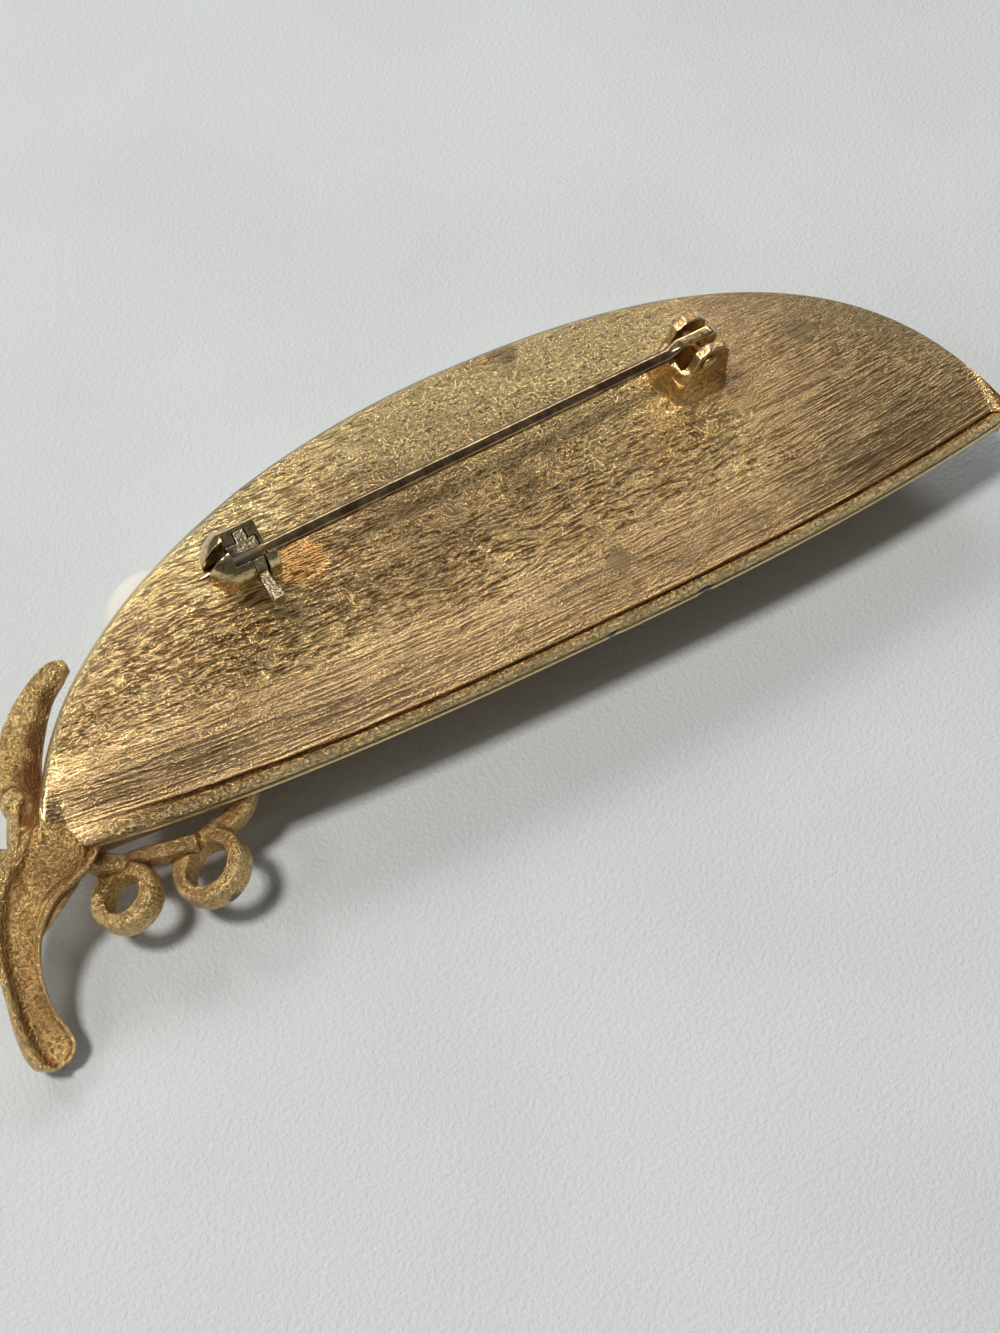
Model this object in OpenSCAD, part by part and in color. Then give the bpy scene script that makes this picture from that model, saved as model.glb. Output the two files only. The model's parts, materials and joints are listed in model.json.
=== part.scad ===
// Pea pod brooch, lying face down with its back and its pin up.
// Millimetres. +X runs along the pin from the catch to the hinge, +Z is up, and the table is at z = 0.
// Places are given from the stem end of the pod, and placed() moves them to the frame's origin.

/* [Pod] */
// Length of the pod from its stem end to its tip
pod_len = 65; // [63:0.1:66]
// Height of the arched edge above the line through the pod's two ends
arch_h = 20.3; // [19:0.1:21]
// How far the straight edge bows out from that line
rim_bow = 2; // [1.5:0.1:2.5]
// Wall thickness of the two cast valves
wall = 1.1; // [0.9:0.1:1.2]
// Height of the arched edge's top above the table
edge_z = 8.4; // [8.3:0.1:8.8]
// Height of the bead on the straight edge above the table
bead_z = 6.2; // [5.8:0.1:6.6]
// Rise of the domed back between its two edges
crown = 1.7; // [1.4:0.1:1.8]

/* [Pearls] */
// Diameter of a pearl
pearl_d = 7.2; // [6.6:0.1:7.2]
// Number of pearls in the row
pearl_count = 6; // [4:1:6]
// Distance of the end pearls' centres inside the arched edge
pearl_inset = 0.9; // [0.8:0.1:1.4]

/* [Pin] */
// Diameter of the pin's wire
wire_d = 0.84; // [0.7:0.02:0.9]
// Height of the pin's axis above the table
pin_z = 11.8; // [11.7:0.1:12.2]
// Distance from the rivet to the pin's point
pin_reach = 34.2; // [33.9:0.1:34.4]

/* [Catch] */
// Diameter of the catch's barrel
barrel_d = 3.9; // [3.8:0.1:4.2]
// Angle of the mouth's far lip above the horizontal
lip_angle = 27; // [22:1:30]

/* [Stem and tendril] */
// Height of the tendril's middle above the table
tendril_z = 3.5; // [3.2:0.1:3.9]
// Outer diameter of the tendril's first loop
loop_1_d = 4.3; // [4.1:0.1:4.5]
// Outer diameter of the tendril's second loop
loop_2_d = 4.7; // [4.5:0.1:4.9]

/* [Hidden] */

// The frame's origin, measured from the pod's stem end
origin_x = 29.22;
origin_y = 5.68;

gold = [0.83, 0.66, 0.33];
dark_gold = [0.55, 0.44, 0.25];
pearl_white = [0.93, 0.91, 0.86];
round_fn = 64;
ball_fn = 48;

// The pod's long line is turned by this much from the pin's
pod_turn = -2.5;
arch_x = 34.5;
arch_left = arch_x + 0.7;
arch_right = pod_len - arch_x;
blunt_left = 1.94;
blunt_right = 2.4;
// Place of the straight edge's ends, and how square its bow is
rim_end = 1.4;
rim_power = 2.6;
// Height of the arched edge at the pod's two ends, and how sharply it drops to that
end_z = 7.2;
fade_power = 6;
tip_width = 0.9;
section_count = 44;
first_angle = 7;
last_angle = 176;
// Sections at least this wide have a full bead and edge, and narrower ones have them scaled down
full_width = 5;

// The bead's outline: distance inside the straight edge, and height above bead_z
bead_outline = [[0, -0.9], [-0.15, -0.45], [0, 0], [0.35, 0.28], [0.8, 0.12], [1.15, -0.05]];
// The arched edge's outline: distance inside it, and depth below its height
edge_outline = [[0.12, 0.3], [0, 0.7], [0.2, 1]];
edge_inset = 0.5;
// Where the hollow closes at the pod's ends: distance inside the arched edge, and depth below its height
shut_edge = [0.4, 1.1];
back_steps = 8;
groove_share = 0.08;
groove_inset = 1.5;

// Length of the flat belly that the front valve rests on, as a share of the pod's length
belly_share = 0.55;
// The front valve: depth of its straight side, of the pod at its ends, and where it turns up
side_depth = 0.9;
end_depth = 1.9;
side_share = 0.45;
lip_rise = 1;
lip_rise_share = 0.75;
// Gap between the front valve's lip and a pearl
lip_gap = 0.4;
lip_least = 0.3;

// The hollow: its distance from the straight edge, and how it closes towards the pod's ends
hollow_half = 29;
hollow_inset = 1.8;
hollow_power = 8;
hollow_least = 0.03;
hollow_steps = 7;

// The row of pearls is flatter than the arched edge, and its pearls are closer near its ends
row_x = 32;
row_half = 21;
row_flat = 1.8;
row_turn = 35;
// The peg that each pearl is glued on, from inside the back valve to this height
peg_r = 0.4;
peg_clear = 0.08;
peg_z = 5;

pin_y = 10.1;
hinge_x = 48.1;
// The pin's blade runs on past the rivet, up to the middle of its round end
blade_end_x = 49.1;
rivet_r = 0.3;
rivet_head_r = 0.55;
rivet_head_h = 0.25;
fit_clear = 0.05;
blade_t = 0.7;
blade_r = 0.65;
blade_x = 46.2;
blade_slope = 1;
wire_left_x = 20.5;
taper_x = 14.9;
taper_r = 0.33;
point_x = hinge_x - pin_reach;
point_r = 0.06;

// The hinge bracket's tray lies between its two ears
bracket_y = 9.9;
ear_gap = 2;
ear_t = 0.6;
ear_x = 46.5;
ear_h = 1.1;
// The ear's corners: x from the hinge's axis, and depth below ear_h
ear_top = [[1.5, 0.7], [1.1, 0.2], [0, 0], [-0.7, 0.4]];
tray_x = [46.1, 49.6];
tray_z = [8.6, 9.8];
tray_lip_h = 0.7;
tray_lip_t = 0.4;

barrel_r = barrel_d / 2;
// The barrel's axis lies a little above and behind the pin's
catch_y = pin_y + 0.2;
catch_z = pin_z + 0.1;
dome_x = 14.5;
cheek_x = 16.05;
slot_x = [17.05, 17.9];
barrel_end_x = 18.6;
foot_y = 2.6;
foot_z = [8.3, 10.6];
slot_open = 110;
slot_fan_steps = 5;
mouth_half = 0.68;
dome_slit = 0.9;
rotor_r = barrel_r - 0.3;
sleeve_r = 1.1;
sleeve_end = 0.22;
rotor_play = 0.08;
tab_turn = 188;
tab_reach = 3.75;
tab_root = 0.4;
tab_w = 0.65;
tab_t = 0.5;
tab_lip = 0.6;
// How far a cutting shape runs past what it cuts, and how far one reaches from the barrel's axis
past = 1;
barrel_cut = 3 * barrel_r;

// The stem's centre line: x, y, z, half width and half height
stem_path = [
    [2.6, 2.5, 5.2, 1.1, 0.5],
    [0.5, 1.8, 5.7, 2.1, 0.8],
    [-1.9, 0.9, 5.5, 1.95, 1],
    [-3.5, -0.6, 4.9, 1.55, 1],
    [-4.5, -2.4, 4, 1.25, 1],
    [-5, -4.2, 3.1, 1.15, 1],
    [-5.2, -5.6, 2.3, 1.3, 0.95],
    [-5.15, -6.8, 1.7, 1.45, 0.95],
    [-5.05, -7.6, 1.4, 1.25, 0.9],
    [-5, -8.1, 1.25, 0.5, 0.6]
];
// A stem's section: share of the half width, share of the half height
stem_section = [
    [1, 0], [0.97, 0.6], [0.84, 1], [0.6, 0.85], [0.35, 0.4], [-0.2, 0.25],
    [-0.9, 0.35], [-1, 0], [-0.85, -0.6], [-0.4, -0.95], [0.3, -1], [0.85, -0.7]
];

// A sepal's centre line: x, y, z, half width and half height
big_sepal = [
    [-0.2, 3.6, 5.9, 1, 0.7],
    [-0.3, 5.4, 5.9, 1.3, 0.8],
    [0.3, 7.6, 5.9, 1.35, 0.8],
    [1.7, 9.8, 5.8, 1.2, 0.75],
    [3.4, 11.7, 5.5, 0.9, 0.7],
    [4.9, 12.7, 5.3, 0.7, 0.65],
    [5.7, 12.9, 5.2, 0.35, 0.4]
];
small_sepal = [
    [-0.75, 5.6, 6.1, 0.55, 0.65],
    [-1.1, 4.6, 6.2, 0.5, 0.7],
    [-1.7, 3.3, 6.1, 0.5, 0.7],
    [-2.3, 1.9, 5.8, 0.4, 0.5]
];
outer_sepal = [
    [-1.2, 1.6, 5.3, 1, 0.6],
    [-2.7, 2.6, 5.2, 1.1, 0.6],
    [-4, 4, 5, 0.8, 0.5],
    [-4.8, 5.4, 4.9, 0.2, 0.2]
];
sepal_section = [
    [1, 0], [0.7, 0.6], [0, 1], [-0.7, 0.6], [-1, 0], [-0.6, -0.7], [0, -0.9], [0.6, -0.7]
];

// The tendril's strips: x, y, z, half width and half height
tendril_root = [
    [1.1, 1.8, 4.4, 0.6, 0.8],
    [1.7, 0.9, 4.1, 0.6, 0.9],
    [2.7, 0.1, 3.8, 0.55, 0.95],
    [3.8, -0.05, 3.7, 0.35, 0.65]
];
tendril_bar = [
    [2.6, 0.1, 3.75, 0.4, 0.75],
    [4.1, -0.1, 3.7, 0.5, 0.8],
    [5.7, -0.5, 3.7, 0.5, 0.8],
    [7.3, -0.8, 3.6, 0.5, 0.75]
];
tendril_end = [
    [7.7, -0.8, 3.6, 0.5, 0.75],
    [9.1, -0.7, 3.7, 0.6, 0.75],
    [10.3, -0.4, 3.9, 0.65, 0.75],
    [11.2, 0.1, 4.3, 0.6, 0.7],
    [12, 0.7, 4.7, 0.4, 0.6]
];
strip_section = [
    [1, 0], [0.9, 0.75], [0.5, 1], [-0.5, 1], [-0.9, 0.75], [-1, 0],
    [-0.9, -0.75], [-0.5, -1], [0.5, -1], [0.9, -0.75]
];
loop_1 = [2.4, -1.8];
loop_2 = [7.4, -2.6];
// The loops lean by this much, towards this direction
loop_lean = 24;
loop_way = 149;
loop_wall = 1.05;
loop_h = 1.8;
loop_edge = 0.25;

// A superellipse's height at a share u of its half width
function superellipse(u, n) = pow(max(0, 1 - pow(abs(u), n)), 1 / n);

// Place along the pod of the section at an angle from 0, stem end, to 180, tip
function station_x(a) = a < 90
    ? arch_x - arch_left * pow(cos(a), 2 / blunt_left)
    : arch_x + arch_right * pow(-cos(a), 2 / blunt_right);
function arch_u(x) = x < arch_x ? (arch_x - x) / arch_left : (x - arch_x) / arch_right;
function along(x) = 2 * x / pod_len - 1;

function rim_y(x) = rim_end - rim_bow * max(0, 1 - pow(abs(along(x)), rim_power));
function arch_y(x) = max(
    rim_y(x) + tip_width,
    arch_h * superellipse(min(1, arch_u(x)), x < arch_x ? blunt_left : blunt_right)
);
function width_at(x) = arch_y(x) - rim_y(x);
function fade(x) = 1 - pow(min(1, arch_u(x)), fade_power);
function edge_height(x) = end_z + (edge_z - end_z) * fade(x);
function belly_z(x) = (bead_z - end_depth)
    * pow(max(0, (abs(along(x)) - belly_share) / (1 - belly_share)), 2);

// Height of the domed back at a share s of the way from the bead to the arched edge
function back_z(x, s) = bead_z + (edge_height(x) - bead_z) * s + 4 * crown * fade(x) * s * (1 - s);

// Distance of a pearl's centre from the arched edge, and of the front valve's lip
function row_inset(x) = pearl_inset + row_flat * max(0, 1 - pow((x - row_x) / row_half, 2));
function lip_inset(x) = row_inset(x) + pearl_d / 2 + lip_gap;
function lip_share(x) = max(lip_least, 1 - lip_inset(x) / width_at(x));

// Height of the front valve's outer face at a share s of the way to its lip
function front_z(x, s) = belly_z(x)
    + (bead_z - side_depth - belly_z(x)) * pow(max(0, 1 - s / side_share), 2)
    + lip_rise * pow(max(0, (s - lip_rise_share) / (1 - lip_rise_share)), 2);

// How far the hollow is open at x, from 1 in the middle down to a thin slit at the pod's ends
function hollow_open(x) = max(hollow_least, 1 - pow(abs(x - row_x) / hollow_half, hollow_power));

// A value or point at a share s of the way from a to b
function between(a, b, s) = a + (b - a) * s;

// Share of a narrow section's full bead and edge, and the shares of its width where the back begins
// and ends
function scaled(x) = min(1, width_at(x) / full_width);
function back_start(x) = max(groove_share, groove_inset * scaled(x) / width_at(x));
function back_end(x) = 1 - edge_inset * scaled(x) / width_at(x);

// Outline of the hollow at x: in from the arched edge below the back, and out again above the front
function hollow_section(x) = let (
    y0 = rim_y(x),
    w = width_at(x),
    k = scaled(x),
    lip = lip_share(x),
    inset = min(hollow_inset, w * lip / 2) / w,
    n = hollow_steps,
    edge = [y0 + w - shut_edge[0] * k, edge_height(x) - shut_edge[1] * k],
    lip_end = [y0 + w * lip, front_z(x, 1) + wall * k],
    open_line = concat(
        [for (i = [0:n]) let (s = between(back_end(x), inset, i / n)) [y0 + w * s, back_z(x, s) - wall * k]],
        [for (i = [0:n]) let (s = between(inset, lip, i / n)) [y0 + w * s, front_z(x, s / lip) + wall * k]]
    ),
    last = len(open_line) - 1
) [for (i = [0:last])
    between(between(edge, lip_end, (i + 1) / (last + 2)), open_line[i], hollow_open(x))];

// Outline of the two valves across their length at x, as points in y and z
function valve_section(x) = let (
    y0 = rim_y(x),
    w = width_at(x),
    k = scaled(x),
    lip = lip_share(x)
) concat(
    [for (p = bead_outline) [y0 + p[0] * k, bead_z + p[1] * k]],
    [for (i = [0:back_steps]) let (s = between(back_start(x), back_end(x), i / back_steps))
        [y0 + w * s, back_z(x, s)]],
    [for (p = edge_outline) [y0 + w - p[0] * k, edge_height(x) - p[1] * k]],
    hollow_section(x),
    [for (i = [back_steps:-1:1]) let (s = i / back_steps) [y0 + w * lip * s, front_z(x, s)]]
);

// A closed solid through a list of rings of points, all with the same count
module loft(rings) {
    n = len(rings[0]);
    last = (len(rings) - 1) * n;
    sides = [for (i = [0:len(rings) - 2], j = [0:n - 1]) let (k = (j + 1) % n)
        each [
            [i * n + j, i * n + k, (i + 1) * n + k],
            [i * n + j, (i + 1) * n + k, (i + 1) * n + j]
        ]];
    polyhedron(
        points = [for (r = rings, p = r) p],
        faces = concat(
            [[for (j = [n - 1:-1:0]) j]],
            sides,
            [[for (j = [0:n - 1]) last + j]]
        )
    );
}

// Rings of a section swept along a path, whose rows are x, y, z, half width and half height
function swept(path, section) = [for (i = [0:len(path) - 1]) let (
    p = path[i],
    before = path[max(0, i - 1)],
    after = path[min(len(path) - 1, i + 1)],
    way = [after[0] - before[0], after[1] - before[1], after[2] - before[2]],
    side = [way[1], -way[0], 0] / norm([way[0], way[1]]),
    up = cross(side, way) / norm(way)
) [for (q = section) [p[0], p[1], p[2]] + side * q[0] * p[3] + up * q[1] * p[4]]];

// A pearl's place in the row, from 1 at the stem end
function pearl_x(i) = row_x + row_half / sin(row_turn)
    * sin(row_turn * (2 * (i - 1) / (pearl_count - 1) - 1));
function slope(x) = (arch_y(x + 0.1) - arch_y(x - 0.1)) / 0.2;
function pearl_at(i) = let (x = pearl_x(i), m = slope(x), back = row_inset(x) / sqrt(1 + m * m))
    [x + m * back, arch_y(x) - back, pearl_d / 2];

module placed() {
    translate([-origin_x, -origin_y, 0]) children();
}

module on_pod() {
    rotate([0, 0, pod_turn]) children();
}

// A shape of Y and Z about the barrel's axis, drawn out from x0 to x1
module across(x0, x1) {
    translate([x0, catch_y, catch_z]) rotate([90, 0, 90]) linear_extrude(x1 - x0) children();
}

// A round bar along Y at the hinge's axis
module hinge_bar(r, y0, y1) {
    translate([hinge_x, y0, pin_z]) rotate([-90, 0, 0]) cylinder(h = y1 - y0, r = r, $fn = round_fn);
}

// The two valves, cast as one with the bead between them
module valves() {
    on_pod() loft([for (i = [0:section_count - 1]) let (
        a = first_angle + (last_angle - first_angle) * i / (section_count - 1),
        x = station_x(a)
    ) [for (p = valve_section(x)) [x, p[0], p[1]]]]);
}

module pegs() {
    on_pod() for (i = [1:pearl_count]) let (
        p = pearl_at(i),
        top = back_z(p[0], (p[1] - rim_y(p[0])) / width_at(p[0])) - wall / 2
    ) translate([p[0], p[1], peg_z]) cylinder(h = top - peg_z, r = peg_r, $fn = round_fn);
}

module calyx() {
    loft(swept(big_sepal, sepal_section));
    loft(swept(small_sepal, sepal_section));
    loft(swept(outer_sepal, sepal_section));
}

module stem() {
    loft(swept(stem_path, stem_section));
}

// A loop of the tendril: a ring with chamfered edges
module tendril_loop(place, d) {
    inner = d / 2 - loop_wall;
    half = loop_h / 2;
    translate([place[0], place[1], tendril_z]) rotate([0, loop_lean, loop_way])
    rotate_extrude($fn = round_fn) polygon([
        [inner, -half + loop_edge],
        [inner + loop_edge, -half],
        [d / 2 - loop_edge, -half],
        [d / 2, -half + loop_edge],
        [d / 2, half - loop_edge],
        [d / 2 - loop_edge, half],
        [inner + loop_edge, half],
        [inner, half - loop_edge]
    ]);
}

module tendril_strips() {
    loft(swept(tendril_root, strip_section));
    loft(swept(tendril_bar, strip_section));
    loft(swept(tendril_end, strip_section));
}

// What is cast in one with the valves, joined into one mesh at its own size
module casting() {
    resize([0, 0, 0]) union() {
        valves();
        calyx();
        stem();
        tendril_strips();
    }
}

module ear(y0) {
    translate([0, y0 + ear_t, pin_z]) rotate([90, 0, 0]) linear_extrude(ear_t) polygon(concat(
        [[ear_x, tray_z[0] - pin_z], [tray_x[1], tray_z[0] - pin_z]],
        [for (p = ear_top) [hinge_x + p[0], ear_h - p[1]]],
        [[ear_x, -ear_h]]
    ));
}

module hinge_bracket() {
    width = ear_gap + 2 * ear_t;
    near = bracket_y - width / 2;
    difference() {
        union() {
            translate([tray_x[0], near, tray_z[0]])
                cube([tray_x[1] - tray_x[0], width, tray_z[1] - tray_z[0]]);
            translate([tray_x[0], near, tray_z[0]])
                cube([tray_lip_t, width, tray_z[1] - tray_z[0] + tray_lip_h]);
            ear(near);
            ear(near + ear_t + ear_gap);
        }
        hinge_bar(rivet_r + fit_clear, near - past, near + width + past);
    }
}

// The mouth's outline: a square corner whose floor rises to the far lip
module mouth() {
    rotate(lip_angle) translate([-mouth_half, -mouth_half]) square(barrel_cut);
}

module catch_barrel() {
    cap = cheek_x - dome_x;
    dome_r = (barrel_r * barrel_r + cap * cap) / (2 * cap);
    difference() {
        union() {
            across(cheek_x, barrel_end_x) circle(barrel_r, $fn = round_fn);
            intersection() {
                translate([dome_x + dome_r, catch_y, catch_z]) sphere(dome_r, $fn = round_fn);
                across(dome_x - past, cheek_x) circle(barrel_r, $fn = round_fn);
            }
            translate([cheek_x, catch_y - foot_y / 2, foot_z[0]])
                cube([barrel_end_x - cheek_x, foot_y, foot_z[1] - foot_z[0]]);
        }
        across(cheek_x, barrel_end_x + past) mouth();
        across(dome_x - past, cheek_x + sleeve_end) translate([pin_y - catch_y, pin_z - catch_z]) {
            circle(dome_slit / 2, $fn = round_fn);
            translate([-dome_slit / 2, 0]) square([dome_slit, barrel_cut]);
        }
        across(cheek_x + sleeve_end, barrel_end_x - sleeve_end) circle(sleeve_r + fit_clear, $fn = round_fn);
        across(slot_x[0], slot_x[1]) circle(rotor_r + fit_clear, $fn = round_fn);
        across(slot_x[0], slot_x[1]) rotate(lip_angle + 90) slot_fan();
    }
}

// The near side of the barrel, where the rotor's slot is open
module slot_fan() {
    polygon(concat([[0, 0]], [for (i = [0:slot_fan_steps]) let (a = slot_open * i / slot_fan_steps)
        barrel_cut * [cos(a), sin(a)]]));
}

module pod() {
    color(gold) placed() {
        casting();
        pegs();
        tendril_loop(loop_1, loop_1_d);
        tendril_loop(loop_2, loop_2_d);
        hinge_bracket();
        catch_barrel();
    }
}

module hinge_rivet() {
    width = ear_gap + 2 * ear_t;
    near = bracket_y - width / 2;
    color(dark_gold) placed() {
        hinge_bar(rivet_r, near - rivet_head_h, near + width + rivet_head_h);
        hinge_bar(rivet_head_r, near - rivet_head_h - fit_clear, near - fit_clear);
        hinge_bar(rivet_head_r, near + width + fit_clear, near + width + rivet_head_h + fit_clear);
    }
}

// The pin: a flat blade with a round end, a wire and a long point
module pin_stem() {
    wire_r = wire_d / 2;
    color(gold) placed() difference() {
        union() {
            translate([0, pin_y + blade_t / 2, pin_z]) rotate([90, 0, 0]) linear_extrude(blade_t) {
                translate([blade_end_x, 0]) circle(blade_r, $fn = round_fn);
                polygon([
                    [blade_end_x, blade_r],
                    [blade_x + blade_slope, blade_r],
                    [blade_x, wire_r],
                    [blade_x, -wire_r],
                    [blade_x + blade_slope, -blade_r],
                    [blade_end_x, -blade_r]
                ]);
            }
            translate([wire_left_x, pin_y, pin_z]) rotate([0, 90, 0])
                cylinder(h = blade_x - wire_left_x, r = wire_r, $fn = round_fn);
            translate([blade_x, pin_y, pin_z]) rotate([0, 90, 0])
                cylinder(h = blade_slope, r1 = wire_r, r2 = blade_t / 2, $fn = round_fn);
            translate([wire_left_x, pin_y, pin_z]) rotate([0, -90, 0])
                cylinder(h = wire_left_x - taper_x, r1 = wire_r, r2 = taper_r, $fn = round_fn);
            translate([taper_x, pin_y, pin_z]) rotate([0, -90, 0])
                cylinder(h = taper_x - point_x, r1 = taper_r, r2 = point_r, $fn = round_fn);
        }
        hinge_bar(rivet_r + fit_clear, pin_y - blade_t, pin_y + blade_t);
    }
}

// The turning part of the safety catch: a slotted disc on a sleeve, with a thumb tab
module catch_rotor() {
    tab_x = (slot_x[0] + slot_x[1] - tab_w) / 2;
    color(gold) placed() {
        difference() {
            union() {
                across(slot_x[0] + rotor_play, slot_x[1] - rotor_play) circle(rotor_r, $fn = round_fn);
                across(cheek_x + sleeve_end + rotor_play, barrel_end_x - sleeve_end - rotor_play)
                    circle(sleeve_r, $fn = round_fn);
            }
            across(cheek_x, barrel_end_x) mouth();
        }
        across(tab_x, tab_x + tab_w) rotate(tab_turn) {
            translate([rotor_r - tab_root, -tab_t / 2]) square([tab_reach - rotor_r + tab_root, tab_t]);
            translate([tab_reach - tab_t, -tab_t / 2 - tab_lip]) square([tab_t, tab_t + tab_lip]);
        }
    }
}

module pearl(i) {
    p = pearl_at(i);
    color(pearl_white) placed() on_pod() translate(p) difference() {
        sphere(pearl_d / 2, $fn = ball_fn);
        translate([0, 0, peg_z - p[2] - 2 * peg_clear])
            cylinder(h = pearl_d, r = peg_r + peg_clear, $fn = round_fn);
    }
}

pod();
hinge_rivet();
pin_stem();
catch_rotor();
for (i = [1:pearl_count]) {
    pearl(i);
}
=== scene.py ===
"""Dresses the pea pod brooch, which lies face down with its back, its pin and its catch up."""

import json
import logging
import math
from collections.abc import Sequence
from dataclasses import dataclass, field
from enum import Enum

import bpy
import numpy as np
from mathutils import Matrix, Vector


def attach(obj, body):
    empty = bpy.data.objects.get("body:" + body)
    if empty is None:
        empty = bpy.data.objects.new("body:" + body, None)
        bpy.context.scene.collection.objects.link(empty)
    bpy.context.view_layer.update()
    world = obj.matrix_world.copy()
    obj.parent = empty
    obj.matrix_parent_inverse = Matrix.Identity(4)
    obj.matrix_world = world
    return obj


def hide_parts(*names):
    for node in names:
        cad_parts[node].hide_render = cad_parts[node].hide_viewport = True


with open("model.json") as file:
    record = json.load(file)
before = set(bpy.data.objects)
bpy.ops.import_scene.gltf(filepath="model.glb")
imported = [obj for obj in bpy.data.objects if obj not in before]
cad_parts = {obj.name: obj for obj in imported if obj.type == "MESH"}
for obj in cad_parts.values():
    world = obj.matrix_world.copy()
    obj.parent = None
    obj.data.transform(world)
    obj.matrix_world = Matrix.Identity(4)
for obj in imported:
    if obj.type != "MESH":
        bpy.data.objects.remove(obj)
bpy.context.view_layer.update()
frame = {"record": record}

# Values that the whole script shares

MM = 0.001
LOG = logging.getLogger("brooch")
Rows = np.ndarray
Table = Sequence | np.ndarray
Colour = tuple[float, float, float]
Socket = bpy.types.NodeSocket


def joint_place(name: str) -> Rows:
    """Finds a joint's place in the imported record.

    Args:
        name: The joint's name.

    Returns:
        Its place in the row frame, in millimetres.
    """
    for joint in frame["record"]["behaviour"]["joints"]:
        if joint["name"] == name:
            return np.array(joint["pos_m"]) / MM
    raise LookupError(name)


# Every shape is made in millimetres from the pod's stem end, where the hinge has this place
HINGE = (48.1, 10.1, 11.8)
ORIGIN = np.array(HINGE) - joint_place("pin_hinge")
POD_TURN = math.radians(-2.5)
# How far a cutter reaches past what it cuts
PAST = 1.0


class Part(Enum):
    """The bodies that pieces ride on."""

    BROOCH = "brooch"
    PIN = "pin"
    ROTOR = "rotor"


class Slot(Enum):
    """The record's material slots."""

    GOLD = "gold_plate"
    RIVET = "rivet_metal"
    PIN = "pin_metal"
    CATCH = "catch_metal"
    PEARL = "pearl"


# Curves and shapes


def spline(rows: Table, steps: int, closed: bool = False) -> Rows:
    """Draws a smooth curve through rows of values, whose first columns are a place.

    Args:
        rows: The points to pass through, one a row, with any further values beside them.
        steps: Number of steps between one point and the next.
        closed: True if the curve comes back to its first point.

    Returns:
        The rows of the curve.
    """
    rows = np.asarray(rows, float)
    place = min(3, rows.shape[1])
    if closed:
        line = np.vstack([rows[-1:], rows, rows[:2]])
    else:
        line = np.vstack([2 * rows[0] - rows[1], rows, 2 * rows[-1] - rows[-2]])
    least_gap = 1e-6
    gaps = np.sqrt(np.linalg.norm(np.diff(line[:, :place], axis=0), axis=1)) + least_gap
    made = []
    for i in range(len(line) - 3):
        p0, p1, p2, p3 = line[i : i + 4]
        t1 = gaps[i]
        t2 = t1 + gaps[i + 1]
        t3 = t2 + gaps[i + 2]
        t = (t1 + (t2 - t1) * np.arange(steps) / steps)[:, None]
        a1 = (t1 - t) / t1 * p0 + t / t1 * p1
        a2 = (t2 - t) / (t2 - t1) * p1 + (t - t1) / (t2 - t1) * p2
        a3 = (t3 - t) / (t3 - t2) * p2 + (t - t2) / (t3 - t2) * p3
        b1 = (t2 - t) / t2 * a1 + t / t2 * a2
        b2 = (t3 - t) / (t3 - t1) * a2 + (t - t1) / (t3 - t1) * a3
        made.append((t2 - t) / (t2 - t1) * b1 + (t - t1) / (t2 - t1) * b2)
    if not closed:
        made.append(rows[-1:])
    return np.vstack(made)


def turns(steps: int) -> Rows:
    """Returns the angles of a number of even steps round a circle."""
    return np.arange(steps) * 2 * math.pi / steps


def squarish(steps: int, power: float) -> tuple[Rows, Rows]:
    """Draws a round outline of radius 1, which is squarer the lower its power is.

    Args:
        steps: Number of points.
        power: 1 for a circle, and less for a squarer outline.

    Returns:
        The points' first coordinates, and their second ones.
    """
    cosine = np.cos(turns(steps))
    sine = np.sin(turns(steps))
    return np.sign(cosine) * np.abs(cosine) ** power, np.sign(sine) * np.abs(sine) ** power


@dataclass
class Shape:
    """A mesh in millimetres from the pod's stem end, and the values that its finish reads."""

    points: Rows
    faces: list[tuple[int, ...]]
    values: dict[str, Rows] = field(default_factory=dict)

    def plus(self, *others: "Shape") -> "Shape":
        """Puts other shapes beside this one in one mesh.

        Args:
            others: The shapes to add.

        Returns:
            The shape of all of them, without their values.
        """
        points = [self.points]
        faces = list(self.faces)
        count = len(self.points)
        for other in others:
            points.append(other.points)
            faces += [tuple(i + count for i in face) for face in other.faces]
            count += len(other.points)
        return Shape(np.vstack(points), faces)

    def moved(self, place: Table) -> "Shape":
        """Returns the shape moved by a place."""
        return Shape(self.points + np.asarray(place, float), self.faces, self.values)

    def mesh(self, name: str) -> bpy.types.Mesh:
        """Returns a new mesh of the shape, still in millimetres, with smooth faces."""
        mesh = bpy.data.meshes.new(name)
        mesh.from_pydata(self.points.tolist(), [], self.faces)
        mesh.validate()
        mesh.polygons.foreach_set("use_smooth", [True] * len(mesh.polygons))
        for key, rows in self.values.items():
            kind = "FLOAT" if rows.ndim == 1 else "FLOAT_VECTOR"
            word = "value" if rows.ndim == 1 else "vector"
            mesh.attributes.new(key, kind, "POINT").data.foreach_set(word, rows.ravel())
        mesh.update()
        return mesh


def loft(rings: list[Rows], looped: bool = False) -> Shape:
    """Skins rings of points that all have the same count.

    Args:
        rings: The rings, from the first to the last.
        looped: True if the last ring is joined to the first, and False to cap the two ends.

    Returns:
        The shape, whose points are in the order of the rings.
    """
    n = len(rings[0])
    last = (len(rings) - 1) * n
    faces = []
    for i in range(len(rings) - (not looped)):
        a = i * n
        b = (i + 1) % len(rings) * n
        faces += [(a + j, a + (j + 1) % n, b + (j + 1) % n, b + j) for j in range(n)]
    if not looped:
        faces.append(tuple(range(n - 1, -1, -1)))
        faces.append(tuple(last + j for j in range(n)))
    return Shape(np.vstack(rings), faces)


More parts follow.
